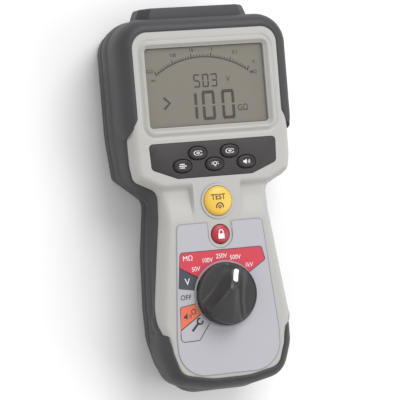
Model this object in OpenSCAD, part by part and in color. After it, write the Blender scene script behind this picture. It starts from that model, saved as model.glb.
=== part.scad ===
/* [Body] */
// Length without the connector block, from the hand end to the head end
body_len = 221.5; // [220:0.5:223]
// Width of the head over its rubber
head_w = 108; // [107:0.5:110]
// Width at the waist under the head
waist_w = 66.8; // [65:0.5:69]
// Greatest width of the hand grip
grip_w = 84.2; // [83:0.5:86]
// Height of the front face above the surface it lies on
face_z = 50; // [49.5:0.5:51]
// Height of the joint between the two case halves
split_z = 30; // [29.5:0.5:30.5]
// Thickness of the rubber over the hard case
rubber_t = 3; // [2.6:0.2:3.2]
// Thickness of the hard case walls
wall_t = 2.4; // [2.2:0.1:2.6]

/* [Display] */
// Width of the display window
window_w = 75.4; // [74:0.2:76]
// Height of the display window
window_h = 46.7; // [45:0.1:47]
// Place of the middle of the window along the body
window_y = 66.3; // [66:0.1:67]

/* [Controls] */
// Diameter of the rotary switch knob
knob_d = 36.8; // [36:0.2:37.4]
// Height of the knob above the face
knob_h = 13; // [12.5:0.5:14]
// Place of the knob along the body
knob_y = -56.7; // [-57.2:0.1:-56.2]
// Angle of the knob, clockwise from straight up, with 22.5 degrees for each position
knob_turn = 22.5; // [-135:22.5:45]
// Diameter of the test button
test_d = 17.4; // [17:0.2:17.8]
// Place of the test button along the body
test_y = -1.9; // [-2.2:0.1:-1.6]
// Diameter of the lock button
lock_d = 11.1; // [10.8:0.1:11.4]
// Place of the lock button along the body
lock_y = -21.5; // [-21.8:0.1:-21.2]
// Length of an oval key
key_w = 12.2; // [12:0.1:12.4]
// Height of an oval key
key_h = 8; // [7.8:0.1:8.2]

/* [Connectors] */
// Height of the connector block above the surface it lies on
socket_z = 27; // [26.5:0.5:27.5]
// Distance between neighbouring sockets
socket_gap = 22; // [21.5:0.5:22.5]
// Diameter of the bore for a 4 mm plug
plug_bore_d = 4; // [4:0.05:4.1]

/* [Battery] */
// Diameter of one AA cell
cell_d = 14.2; // [14:0.1:14.4]
// Length of one AA cell
cell_len = 50.2; // [49.8:0.1:50.4]

/* [Hidden] */
$fn = 48;

// Colours
shell_grey = [0.78, 0.775, 0.765];
rubber_grey = [0.27, 0.27, 0.285];
panel_grey = [0.28, 0.265, 0.28];
near_black = [0.1, 0.1, 0.11];
brass_tone = [0.8, 0.66, 0.36];
steel_tone = [0.66, 0.67, 0.69];
board_green = [0.1, 0.36, 0.22];

// Places along the body
head_y = 107.5;
end_y = head_y - body_len;
bumper_y = 35.5;
grip_end_y = -75;
eps = 0.05;

// Outline of the hard case at its widest, down one side from the head.
// Each corner is [x, y, radius].
head_x = head_w / 2 - rubber_t;
waist_x = waist_w / 2;
grip_x = grip_w / 2;
step_x = grip_x - rubber_t;
front_side = [
  [head_x, head_y - rubber_t, 15],
  [head_x - 0.7, 22, 20],
  [head_x - 2.4, 13, 6],
  [waist_x, 5.5, 7],
  [waist_x + 0.6, -10, 0],
  [grip_x, grip_end_y + 0.5, 0],
  [step_x, grip_end_y - 0.5, 0],
  [step_x, end_y + 26, 20],
  [step_x - 5.6, end_y + 9.2, 12],
  [12, end_y + 4.8, 40]
];

// Outline of the hard case inside the end bumper
end_side = [
  [step_x, grip_end_y + 10, 0],
  [step_x, end_y + 26, 20],
  [step_x - 5.6, end_y + 9.2, 12],
  [12, end_y + 4.8, 40]
];

// Outline of the rubber round the back half, down the same side
rear_side = [
  [head_w / 2, head_y, 18],
  [head_w / 2, 40, 0],
  [head_w / 2 - 2.6, 13.5, 9],
  [waist_x + 0.4, -0.5, 4],
  [waist_x + 4.1, -30, 0],
  [grip_x - 3.3, -62, 0],
  [grip_x - 3.7, end_y + 32, 30],
  [33, end_y + 13, 20],
  [21, end_y, 15]
];

// Heights and insets of the case surfaces, each [height, inset]
front_levels = [
  [split_z, 3.2], [split_z + 6, 1.4], [face_z - 8, 0],
  [face_z - 4, 0.6], [face_z - 1.4, 2.2], [face_z, 5]
];
front_cavity = [
  [split_z - 1, 5.6], [split_z + 6, 4.2], [face_z - 8, wall_t + 0.4],
  [face_z - wall_t, wall_t + 2]
];
bumper_outside = [
  [split_z, -2.7], [split_z + 5, -3], [face_z - 8, -2.7],
  [face_z - 3.4, -1.4], [face_z - 0.6, 1.2], [face_z + 0.5, 4]
];
head_bumper_section = concat(bumper_outside, [
  [face_z - 0.2, 6.25], [face_z - 5.45, 6.25], [face_z - 5.45, 0.25],
  [face_z - 8, -0.05], [split_z + 6, 1.35], [split_z, 3.15]
]);
end_bumper_section = concat(bumper_outside, [
  [face_z + 0.05, 4.2], [face_z - 1.35, 2.1], [face_z - 4, 0.5],
  [face_z - 8, -0.1], [split_z + 6, 1.3], [split_z, 3.1]
]);
armour_levels = [
  [0, 5], [1.5, 2.6], [4.5, 0.8], [9, 0], [split_z - 6, 0], [split_z, 0.3],
  [split_z, 3.05], [10, 2.7], [5, 3.4], [rubber_t - 0.45, 5.8]
];
rear_case_levels = [
  [rubber_t - 0.4, 5.85], [5, 3.45], [10, 2.75], [split_z, 3.1]
];
rear_cavity = [
  [5.2, 8], [8, 6], [12, wall_t + 2.8], [split_z + 1, wall_t + 3.1]
];

// Display and keypad
window_z = face_z - 1.9;
bezel_w = 82.6;
bezel_h = 55;
bezel_y = window_y - 0.5;
bare_inset = 6.3;
key_places = [[-20.2, 19.9], [0, 19.9], [20.2, 19.9], [-10.1, 26.9], [10.1, 26.9]];
key_gap = 0.35;
keypad_side = [[40, 33.7, 2.5], [39.3, 18.9, 3], [23.5, 12.8, 4]];

// Controls
scoop_r = 40;
scoop_x = 30.5;
scoop_depth = 3.2;
knob_r = knob_d / 2;
knob_base = face_z + 1;
knob_top = face_z + knob_h;
spindle_r = 3;
bush_fit = 0.03;
label_t = 0.35;
label_side = [[27.2, -13.8, 3], [32.6, -80, 30], [32.2, end_y + 10.5, 17]];

// Connector block
block_end_y = 114;
block_in_y = 92;
block_w = 70;
block_h = 22;
socket_r = 7;
socket_places = [-socket_gap, 0, socket_gap];

// Battery bay and the back
cell_pitch = cell_d + 0.2;
cell_z = 5.6 + cell_d / 2;
first_cell_y = end_y + 17.9 + cell_d / 2;
cover_x = 27;
cover_low = end_y + 8;
cover_high = 3;
cover_z = 0.8;
cover_t = 1.6;
stand_x = 30;
stand_low = 14;
stand_hinge_y = 88;
stand_hinge_z = 2.9;
stand_t = 3.4;
pocket_z = 5.6;
screw_places = [
  [43.5, 94], [-43.5, 94], [43.5, 24], [-43.5, 24], [18, end_y + 12], [-18, end_y + 12]
];
board_z = 25;

// Outline functions

// The other side of a list of corners, so that the outline closes
function both_sides(side) = concat(
  side,
  [for (i = [len(side) - 1:-1:0]) [-side[i].x, side[i].y, side[i][2]]]
);

function flat(p) = [p.x, p.y];
function heading(a, b) = (flat(b) - flat(a)) / norm(flat(b) - flat(a));
function inward(d) = [d.y, -d.x];

// Corner i moved in by k, with its radius changed to suit
function inset_corner(c, i, k) =
  let (
    n = len(c),
    d0 = heading(c[(i + n - 1) % n], c[i]),
    d1 = heading(c[i], c[(i + 1) % n]),
    shift = k * (inward(d0) + inward(d1)) / (1 + d0 * d1),
    convex = d0.x * d1.y - d0.y * d1.x < 0,
    r = c[i][2]
  )
  [c[i].x + shift.x, c[i].y + shift.y, r == 0 ? 0 : max(0.3, convex ? r - k : r + k)];

// The points of the arc that rounds corner i
function corner_arc(c, i, step) =
  let (
    n = len(c),
    d0 = heading(c[(i + n - 1) % n], c[i]),
    d1 = heading(c[i], c[(i + 1) % n]),
    turn = acos(max(-1, min(1, d0 * d1))),
    side = d0.x * d1.y - d0.y * d1.x < 0 ? 1 : -1,
    r = c[i][2],
    start = flat(c[i]) - d0 * r * tan(turn / 2),
    centre = start + inward(d0) * side * r,
    a0 = atan2(start.y - centre.y, start.x - centre.x),
    steps = max(1, ceil(turn / step))
  )
  r == 0 ? [flat(c[i])] : [
    for (j = [0:steps])
      let (a = a0 - side * turn * j / steps)
      centre + r * [cos(a), sin(a)]
  ];

// A closed outline with rounded corners, moved in by k
function outline(side, k = 0, step = 16) =
  let (
    c = both_sides(side),
    moved = [for (i = [0:len(c) - 1]) inset_corner(c, i, k)]
  )
  [for (i = [0:len(moved) - 1]) each corner_arc(moved, i, step)];

// The outline at each height and inset
function level_rings(side, levels) = [
  for (l = levels)
    [for (p = outline(side, l[1])) [p.x, p.y, l[0]]]
];

// Faces that join ring j to ring k, with n points in each
function band(n, j, k) = [
  for (i = [0:n - 1])
    [j * n + i, j * n + (i + 1) % n, k * n + (i + 1) % n, k * n + i]
];

// Shared shapes

// A solid through one outline at several heights and insets
module loft(side, levels) {
  rings = level_rings(side, levels);
  n = len(rings[0]);
  m = len(rings);
  bottom = [[for (i = [n - 1:-1:0]) i]];
  walls = [for (j = [0:m - 2]) each band(n, j, j + 1)];
  top = [[for (i = [0:n - 1]) (m - 1) * n + i]];
  polyhedron(points = [for (r = rings) each r], faces = concat(bottom, walls, top));
}

// A closed section of heights and insets, run right round one outline
module ring_loft(side, section) {
  rings = level_rings(side, section);
  n = len(rings[0]);
  m = len(rings);
  polyhedron(points = [for (r = rings) each r],
             faces = [for (j = [0:m - 1]) each band(n, j, (j + 1) % m)]);
}

// A prism on an outline
module plate(side, z0, z1, k = 0) {
  translate([0, 0, z0])
    linear_extrude(z1 - z0)
      polygon(outline(side, k, 6));
}

// A block from one corner to the other
module block(a, b) {
  translate(a)
    cube(b - a);
}

// An upright rectangle with round corners
module rounded_rect(w, h, r) {
  square([w - 2 * r, h], center = true);
  square([w, h - 2 * r], center = true);
  for (sx = [-1, 1], sy = [-1, 1])
    translate([sx * (w / 2 - r), sy * (h / 2 - r)])
      circle(r = r);
}

module rounded_slab(y, z0, z1, w, h, r) {
  translate([0, y, z0])
    linear_extrude(z1 - z0)
      rounded_rect(w, h, r);
}

// A slot shape with half-round ends, as wide as w
module stadium(w, h, z0, z1) {
  translate([0, 0, z0])
    linear_extrude(z1 - z0) {
      square([w - h, h], center = true);
      for (s = [-1, 1])
        translate([s * (w - h) / 2, 0])
          circle(d = h);
    }
}

module post(x, y, z0, z1, r) {
  translate([x, y, z0])
    cylinder(r = r, h = z1 - z0);
}

module washer(x, y, z0, z1, r_in, r_out) {
  translate([x, y, z0])
    difference() {
      cylinder(r = r_out, h = z1 - z0);
      translate([0, 0, -1])
        cylinder(r = r_in, h = z1 - z0 + 2);
    }
}

// A rod along Y from y0 to y1
module rod_y(x, z, y0, y1, r) {
  translate([x, y0, z])
    rotate([-90, 0, 0])
      cylinder(r = r, h = y1 - y0);
}

// A rod along X from x0 to x1
module rod_x(y, z, x0, x1, r) {
  translate([x0, y, z])
    rotate([0, 90, 0])
      cylinder(r = r, h = x1 - x0);
}

// The connector block's envelope, grown by g
module block_envelope(g = 0) {
  w = block_w / 2 + g;
  h = block_h / 2 + g;
  cut = 6;
  translate([0, block_end_y, socket_z])
    rotate([90, 0, 0])
      linear_extrude(block_end_y - block_in_y)
        polygon([
          [w, h - cut], [w - cut, h], [cut - w, h], [-w, h - cut],
          [-w, cut - h], [cut - w, -h], [w - cut, -h], [w, cut - h]
        ]);
}

// A moulding whose blended walls and holes are kept as one skin
module moulding() {
  $fn = 36;
  resize([0, 0, 0])
    children();
}

module scoops(extra = 0) {
  for (s = [-1, 1])
    translate([s * scoop_x, test_y, face_z + scoop_r - scoop_depth])
      sphere(r = scoop_r + extra, $fn = 60);
}

// Case

module front_case_body() {
  difference() {
    loft(front_side, front_levels);
    difference() {
      block([-60, bumper_y, face_z - 5.5], [60, 120, face_z + 1]);
      plate(front_side, face_z - 6, face_z + 2, bare_inset);
    }
  }
  rounded_slab(bezel_y, face_z - 1, face_z + 1, bezel_w, bezel_h, 6);
}

module front_case() {
  color(shell_grey)
    moulding()
      difference() {
        front_case_body();
        difference() {
          loft(front_side, front_cavity);
          scoops(wall_t);
          for (p = screw_places)
            post(p.x, p.y, split_z - 2, face_z, 3.6);
        }
        scoops();
        rounded_slab(window_y, face_z - 6, face_z + 2, window_w, window_h, 2);
        plate(keypad_side, face_z - 0.9, face_z + 2, -0.2);
        for (p = key_places)
          translate([p.x, p.y, 0])
            stadium(key_w + 2, key_h + 2, face_z - 6, face_z);
        post(0, test_y, face_z - 8, face_z + 2, test_d / 2 + 1.8);
        post(0, lock_y, face_z - 8, face_z + 2, lock_d / 2 + 0.5);
        post(0, knob_y, face_z - 8, face_z + 2, spindle_r + 3);
        block_envelope(0.1);
        for (p = screw_places)
          post(p.x, p.y, split_z - 3, face_z - 10, 1.4);
      }
}

module rear_case() {
  color(near_black)
    moulding()
      difference() {
        union() {
          difference() {
            loft(rear_side, rear_case_levels);
            loft(rear_side, rear_cavity);
          }
          block([-stand_x - 3, stand_low - 4, 3.2], [stand_x + 3, stand_hinge_y + 6, pocket_z + 2]);
          for (p = screw_places)
            post(p.x, p.y, 4, split_z, 3.6);
          post(0, end_y + 12.5, 3.2, 22, 3.1);
          for (sx = [-1, 1], y = [14, 84])
            post(sx * 34, y, 4, board_z, 2.6);
        }
        block([-stand_x - 0.8, stand_low - 1.5, 0], [stand_x + 0.8, stand_hinge_y + 3.4, pocket_z]);
        rod_x(stand_hinge_y, stand_hinge_z, -stand_x - 6, stand_x + 6, 1.25);
        cover_opening();
        post(0, end_y + 12.5, 0, 20, 2.4);
        for (p = screw_places) {
          post(p.x, p.y, 0, split_z + 1, 1.6);
          post(p.x, p.y, 0, 7, 3);
        }
        for (sx = [-1, 1], y = [14, 84])
          post(sx * 34, y, 8, board_z + 1, 1.25);
        block_envelope(0.1);
        gasket_ring(split_z - 0.9, split_z + 1);
      }
}

module gasket_ring(z0, z1) {
  difference() {
    intersection() {
      plate(front_side, z0, z1, 3.5);
      plate(rear_side, z0 - 1, z1 + 1, 3.4);
    }
    intersection() {
      plate(front_side, z0 - 1, z1 + 1, 4.9);
      plate(rear_side, z0 - 2, z1 + 2, 4.8);
    }
    for (p = screw_places)
      post(p.x, p.y, z0 - 1, z1 + 1, 2.2);
  }
}

module case_gasket() {
  color(near_black)
    moulding() difference() {
      gasket_ring(split_z - 0.9, split_z);
      block_envelope(0.2);
    }
}

module cover_opening() {
  w = 2 * cover_x - 2;
  h = cover_high - cover_low - 2;
  rounded_slab((cover_low + cover_high) / 2, 1, 5.4, w, h, 11);
}

module head_bumper() {
  color(rubber_grey)
    difference() {
      ring_loft(front_side, head_bumper_section);
      block([-60, -130, 0], [60, bumper_y, 60]);
      block_envelope(0.2);
    }
}

module end_bumper() {
  color(rubber_grey)
    difference() {
      ring_loft(end_side, end_bumper_section);
      block([-60, grip_end_y - 0.6, 0], [60, 0, 60]);
    }
}

module rear_armour() {
  color(rubber_grey)
    moulding()
      difference() {
        loft(rear_side, armour_levels);
        block([-stand_x - 0.8, stand_low - 1.5, -1], [stand_x + 0.8, stand_hinge_y + 3.4, 6]);
        rounded_slab((cover_low + cover_high) / 2, -1, 6,
                     2 * cover_x + 0.6, cover_high - cover_low + 0.6, 12.3);
        rod_x(stand_hinge_y, stand_hinge_z, -stand_x - 6, stand_x + 6, 1.3);
        for (p = screw_places)
          post(p.x, p.y, -1, 8, 3);
        block_envelope(0.2);
      }
}

// Front face

module label_overlay() {
  color([0.76, 0.76, 0.79])
    difference() {
      plate(label_side, face_z, face_z + label_t);
      post(0, lock_y, face_z - 1, face_z + 1, 7.8);
      block([-7.1, lock_y, face_z - 1], [7.1, 0, face_z + 1]);
      post(0, knob_y, face_z - 1, face_z + 1, 7);
    }
}

module display_window() {
  color([0.75, 0.78, 0.72, 0.35])
    rounded_slab(window_y, window_z - 1.5, window_z, window_w - 0.2, window_h - 0.2, 1.9);
}

module display_panel() {
  color([0.53, 0.52, 0.46])
    rounded_slab(window_y, window_z - 4.4, window_z - 1.6, window_w - 0.6, window_h - 0.6, 1);
}

module display_carrier() {
  color([0.2, 0.2, 0.21])
    difference() {
      rounded_slab(window_y, window_z - 7.4, window_z - 4.5, window_w + 6, window_h + 5, 3);
      rounded_slab(window_y, window_z - 8, window_z - 4, window_w - 6, window_h - 5, 2);
    }
}

module backlight() {
  color("white")
    rounded_slab(window_y, window_z - 7.2, window_z - 4.5, window_w - 6.4, window_h - 5.4, 2);
}

module keypad_panel() {
  color(panel_grey)
    difference() {
      plate(keypad_side, face_z - 0.9, face_z + 0.15);
      for (p = key_places)
        translate([p.x, p.y, 0])
          stadium(key_w + 2 * key_gap, key_h + 2 * key_gap, face_z - 2, face_z + 1);
    }
}

module key_mat() {
  color(near_black)
    difference() {
      union() {
        plate(keypad_side, face_z - 10.4, face_z - 9.6, 3);
        for (p = key_places)
          post(p.x, p.y, face_z - 9.8, face_z - 8.2, 2.6);
      }
      for (p = key_places)
        post(p.x, p.y, face_z - 11, face_z - 8.8, 1.8);
    }
}

module key_cap(i) {
  color(near_black)
    translate([key_places[i].x, key_places[i].y, 0]) {
      post(0, 0, face_z - 8.2, face_z - 3.1, 2);
      stadium(key_w, key_h, face_z - 3.2, face_z + 0.8);
      stadium(key_w - 1, key_h - 1, face_z + 0.8, face_z + 1.2);
    }
}

module key_1() {
  key_cap(0);
}

module key_2() {
  key_cap(1);
}

module key_3() {
  key_cap(2);
}

module key_4() {
  key_cap(3);
}

module key_5() {
  key_cap(4);
}

// A round push button with a domed top and a stem down to its spring
module push_button(y, d, top, dome_r) {
  translate([0, y, 0]) {
    intersection() {
      post(0, 0, face_z - 4, top, d / 2);
      translate([0, 0, top - dome_r])
        sphere(r = dome_r, $fn = 96);
    }
    post(0, 0, face_z - 7, face_z - 3.9, 3);
  }
}

module test_button() {
  color([0.95, 0.79, 0.27])
    push_button(test_y, test_d, face_z + 3.4, 32);
}

module test_ring() {
  color(near_black)
    washer(0, test_y, face_z - 3, face_z + 0.6, test_d / 2 + 0.3, test_d / 2 + 1.7);
}

module dome_spring(y) {
  color([0.55, 0.55, 0.53])
    translate([0, y, face_z - 10.4])
      rotate_extrude()
        polygon([[2.4, 3.4], [0, 3.4], [0, 2.8], [2.2, 2.8], [4.6, 0.8], [6, 0.8], [6, 0], [7.2, 0],
                 [7.2, 1.4], [5, 1.4]]);
}

module test_dome() {
  dome_spring(test_y);
}

module lock_button() {
  color([0.78, 0.18, 0.22])
    push_button(lock_y, lock_d, face_z + 1.6, 26);
}

module lock_dome() {
  dome_spring(lock_y);
}

// Rotary switch

module turned_knob() {
  translate([0, knob_y, 0])
    rotate([0, 0, -knob_turn])
      children();
}

module knob() {
  base_top = knob_base + 4.6;
  color(near_black)
    turned_knob()
      difference() {
        union() {
          post(0, 0, knob_base, base_top - 1.2, knob_r);
          post(0, 0, base_top - 1.2, base_top, knob_r - 1);
          intersection() {
            post(0, 0, knob_base, knob_top, knob_r - 0.6);
            translate([0, 0, knob_base])
              linear_extrude(knob_top - knob_base)
                polygon([[-3.4, 20], [3.4, 20], [4.4, 0], [7.6, -12], [9.5, -20],
                         [-9.5, -20], [-7.6, -12], [-4.4, 0]]);
          }
        }
        post(0, 0, knob_base - 1, base_top + 3, spindle_r);
        block([-1.5, 7.6, knob_top - 1.2], [1.5, 15.2, knob_top + 1]);
      }
}

module knob_pointer() {
  color("white")
    turned_knob()
      block([-1.5, 7.6, knob_top - 1.2], [1.5, 15.2, knob_top - 0.3]);
}

module knob_ring() {
  color([0.72, 0.72, 0.73])
    washer(0, knob_y, face_z + label_t, face_z + label_t + 0.5, knob_r + 0.3, knob_r + 1.3);
}

module knob_spindle() {
  color(steel_tone)
    turned_knob()
      post(0, 0, board_z - 1, knob_base + 7.6, spindle_r);
}

module spindle_seal() {
  color(near_black)
    washer(0, knob_y, face_z - 0.6, face_z + 0.6, spindle_r + 0.3, spindle_r + 1.8);
}

module spindle_bush() {
  color([0.85, 0.85, 0.82])
    difference() {
      union() {
        post(0, knob_y, face_z - 10, face_z - 0.7, spindle_r + 2.9);
        post(0, knob_y, face_z - 10, face_z - 6, 8.6);
      }
      post(0, knob_y, face_z - 11, face_z + 1, spindle_r + bush_fit);
    }
}

module switch_rotor() {
  color([0.86, 0.85, 0.8])
    turned_knob()
      union() {
        washer(0, 0, board_z + 3, board_z + 6.4, spindle_r, 13);
        block([-1.6, 12, board_z + 3], [1.6, 14.6, board_z + 6.4]);
      }
}

module switch_wafer() {
  color([0.55, 0.4, 0.22])
    difference() {
      union() {
        washer(0, knob_y, board_z + 1.7, board_z + 2.6, spindle_r + 0.6, 15.6);
        washer(0, knob_y, board_z + 1.7, face_z - 10, 15.6, 17);
      }
      for (i = [-6:2])
        translate([0, knob_y, board_z + 7])
          rotate([0, 0, -22.5 * i])
            block([-1, 14, 0], [1, 18, 3]);
    }
}

// Electronics

module display_board() {
  color(board_green)
    difference() {
      union() {
        rounded_slab(54, face_z - 12, face_z - 10.4, 78, 80, 4);
        rounded_slab(-8, face_z - 12, face_z - 10.4, 34, 50, 3);
      }
      for (sx = [-1, 1], y = [20, 88])
        post(sx * 36, y, face_z - 13, face_z - 10, 1.3);
    }
}

module main_board() {
  color(board_green)
    difference() {
      union() {
        rounded_slab(-41, board_z, board_z + 1.6, 56, 110, 4);
        rounded_slab(49.5, board_z, board_z + 1.6, 80, 79, 4);
      }
      post(0, knob_y, board_z - 1, board_z + 3, spindle_r + 0.6);
      for (sx = [-1, 1], y = [14, 84])
        post(sx * 34, y, board_z - 1, board_z + 3, 1.3);
      for (p = screw_places)
        post(p.x, p.y, board_z - 1, board_z + 3, 4);
    }
}

module board_screws() {
  color(steel_tone)
    for (sx = [-1, 1], y = [14, 84]) {
      post(sx * 34, y, board_z - 4, board_z + 1.6, 1.1);
      post(sx * 34, y, board_z + 1.6, board_z + 3.2, 2.5);
    }
}

module transformer() {
  color([0.2, 0.19, 0.18]) {
    block([8, 28, board_z + 1.6], [30, 50, board_z + 9.6]);
    block([12, 24, board_z + 1.6], [26, 54, board_z + 7]);
  }
}

module buzzer() {
  color(near_black)
    difference() {
      post(-20, 70, board_z + 1.6, board_z + 8, 7);
      post(-20, 70, board_z + 6, board_z + 9, 1.2);
    }
}

module capacitors() {
  color([0.15, 0.18, 0.4])
    for (x = [-28, -16, -4])
      post(x, 34, board_z + 1.6, board_z + 10, 4.6);
}

// Connector block and sockets

module connector_block() {
  color(near_black)
    difference() {
      block_envelope();
      block([-block_w / 2 + 2, block_in_y - 1, socket_z - block_h / 2 + 2],
            [block_w / 2 - 2, block_end_y - 14, socket_z + block_h / 2 - 2]);
      for (x = socket_places)
        rod_y(x, socket_z, block_in_y - 1, block_end_y + 1, socket_r);
    }
}

// A shrouded socket with a ring gap for the plug's own shroud
module socket_shell(x, tint) {
  len = 16;
  color(tint)
    translate([x, block_end_y - len, socket_z])
      rotate([-90, 0, 0])
        difference() {
          cylinder(r = socket_r, h = len);
          difference() {
            translate([0, 0, 5])
              cylinder(r = 5.9, h = len);
            cylinder(r = 3.7, h = len + 1);
          }
          translate([0, 0, -1])
            cylinder(r = 2.8, h = len + 2);
        }
}

module socket_black() {
  socket_shell(-socket_gap, near_black);
}

module socket_red() {
  socket_shell(socket_gap, [0.72, 0.1, 0.1]);
}

module socket_contacts() {
  color(brass_tone)
    for (x = [-socket_gap, socket_gap])
      translate([x, block_end_y - 19, socket_z])
        rotate([-90, 0, 0])
          difference() {
            cylinder(r = 2.8, h = 18);
            translate([0, 0, 4])
              cylinder(r = plug_bore_d / 2, h = 18);
          }
}

module socket_remote() {
  color(near_black)
    translate([0, block_end_y - 16, socket_z])
      rotate([-90, 0, 0])
        difference() {
          cylinder(r = socket_r, h = 16);
          translate([0, 0, 6])
            cylinder(r = 5.4, h = 16);
          for (a = [0:120:240])
            rotate([0, 0, a])
              translate([3, 0, -1])
                cylinder(r = 0.7, h = 20);
        }
}

module remote_pins() {
  color(brass_tone)
    translate([0, block_end_y - 18, socket_z])
      rotate([-90, 0, 0])
        for (a = [0:120:240])
          rotate([0, 0, a])
            translate([3, 0, 0])
              cylinder(r = 0.7, h = 12);
}

// Battery bay

module battery_tray() {
  inner = cell_len / 2 + 2;
  low = end_y + 17;
  high = low + 6 * cell_pitch + 1.5;
  top = 5.6 + cell_d + 0.8;
  color([0.17, 0.17, 0.18])
    difference() {
      intersection() {
        plate(rear_side, 5, split_z, 6.4);
        union() {
          block([-inner - 1.4, low - 1.2, 10], [inner + 1.4, high + 1.2, top + 1.4]);
          block([-21.4, high, 10], [21.4, high + 11, top + 1.4]);
        }
      }
      block([-inner, low, 6], [inner, high, top]);
      block([-20, high + 1.2, 6], [20, high + 9.8, top]);
    }
}

module cells() {
  color([0.72, 0.55, 0.25])
    for (i = [0:5])
      let (s = i % 2 == 0 ? 1 : -1, y = first_cell_y + i * cell_pitch)
        union() {
          rod_x(y, cell_z, -cell_len / 2 + (s > 0 ? 0 : 1), cell_len / 2 - (s > 0 ? 1 : 0),
                cell_d / 2);
          rod_x(y, cell_z, -cell_len / 2, cell_len / 2, 2.7);
        }
}

module battery_contacts() {
  inner = cell_len / 2 + 2;
  color(steel_tone)
    for (i = [0:5], sx = [-1, 1])
      let (y = first_cell_y + i * cell_pitch)
        translate([sx * (inner - 0.9), y, cell_z])
          rotate([0, 90, 0])
            cylinder(r = 4.4, h = 1.8, center = true);
}

module fuse() {
  y = first_cell_y + 5.5 * cell_pitch + 6.6;
  color([0.88, 0.86, 0.8])
    rod_x(y, 12, -11, 11, 3);
  color(steel_tone)
    for (s = [-1, 1])
      rod_x(y, 12, s > 0 ? 11 : -16, s > 0 ? 16 : -11, 3.15);
}

module fuse_clips() {
  y = first_cell_y + 5.5 * cell_pitch + 6.6;
  color(brass_tone)
    for (s = [-1, 1])
      difference() {
        block([s * 13.5 - 2, y - 3.8, 9], [s * 13.5 + 2, y + 3.8, 19.6]);
        rod_x(y, 12, s * 13.5 - 3, s * 13.5 + 3, 3.15);
        block([s * 13.5 - 3, y - 2.4, 8], [s * 13.5 + 3, y + 2.4, 12]);
      }
}

module battery_cover() {
  mid = (cover_low + cover_high) / 2;
  len = cover_high - cover_low;
  color(near_black)
    difference() {
      union() {
        rounded_slab(mid, cover_z, cover_z + cover_t, 2 * cover_x, len, 12);
        rounded_slab(mid, cover_z + cover_t - eps, 4.8, 2 * cover_x - 5.4, len - 5.4, 9.4);
      }
      rounded_slab(mid, cover_z + cover_t, 6, 2 * cover_x - 9, len - 9, 8);
      post(0, end_y + 12.5, 0, 6, 1.9);
      post(0, end_y + 12.5, 0, 1.9, 3.2);
      for (i = [-3:3])
        rounded_slab(cover_high - 12 + i * 2.4, cover_z - 1, cover_z + 0.5, 26, 1.2, 0.55);
    }
}

module cover_seal() {
  mid = (cover_low + cover_high) / 2;
  len = cover_high - cover_low;
  color([0.5, 0.1, 0.1])
    difference() {
      rounded_slab(mid, cover_z + cover_t, 3.9, 2 * cover_x - 2.2, len - 2.2, 10.9);
      rounded_slab(mid, cover_z, 5, 2 * cover_x - 5.2, len - 5.2, 9.5);
    }
}

module cover_screw() {
  color(steel_tone)
    difference() {
      union() {
        post(0, end_y + 12.5, 0.9, 1.9, 2.9);
        post(0, end_y + 12.5, 1.8, 14, 1.45);
      }
      block([-3, end_y + 12.1, 0], [3, end_y + 12.9, 1.4]);
    }
}

module cover_insert() {
  color(brass_tone)
    washer(0, end_y + 12.5, 8, 18, 1.5, 2.3);
}

// Back

module stand() {
  color(near_black)
    difference() {
      union() {
        block([-stand_x, stand_low, 0.8], [stand_x, stand_hinge_y, 0.8 + stand_t]);
        rod_x(stand_hinge_y, stand_hinge_z, -stand_x, stand_x, 2.1);
      }
      rounded_slab(54, 0, 6, 36, 40, 6);
      block([-8, stand_low - 1, 0], [8, stand_low + 5, 6]);
      rod_x(stand_hinge_y, stand_hinge_z, -stand_x - 1, stand_x + 1, 1.25);
    }
}

module stand_pins() {
  color(steel_tone)
    for (s = [-1, 1])
      rod_x(stand_hinge_y, stand_hinge_z, s > 0 ? stand_x - 6 : -stand_x - 5,
            s > 0 ? stand_x + 5 : 6 - stand_x, 1.2);
}

module case_screws() {
  color(steel_tone)
    for (p = screw_places) {
      post(p.x, p.y, 5, 7, 2.7);
      post(p.x, p.y, 6.9, face_z - 12, 1.4);
    }
}

front_case();
rear_case();
case_gasket();
head_bumper();
end_bumper();
rear_armour();
label_overlay();
display_window();
display_panel();
display_carrier();
backlight();
keypad_panel();
key_mat();
key_1();
key_2();
key_3();
key_4();
key_5();
test_button();
test_ring();
test_dome();
lock_button();
lock_dome();
knob();
knob_pointer();
knob_ring();
knob_spindle();
spindle_seal();
spindle_bush();
switch_rotor();
switch_wafer();
display_board();
main_board();
board_screws();
transformer();
buzzer();
capacitors();
connector_block();
socket_black();
socket_red();
socket_remote();
socket_contacts();
remote_pins();
battery_tray();
cells();
battery_contacts();
fuse();
fuse_clips();
battery_cover();
cover_seal();
cover_screw();
cover_insert();
stand();
stand_pins();
case_screws();
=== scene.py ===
# %% [markdown]
# # A hand-held insulation tester
#
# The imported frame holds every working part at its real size. This lesson dresses it: moulded shells
# with soft edges, overmoulded rubber, a printed dial, a segment display and the buttons.
# Everything is measured in millimetres here and turned into metres when a mesh is made, because
# the sizes of such a tester are easier to read in millimetres.

# %% Load the frame
import math

import bmesh
import bpy
import numpy as np
from mathutils import Matrix, Vector
from mathutils.geometry import delaunay_2d_cdt


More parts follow.
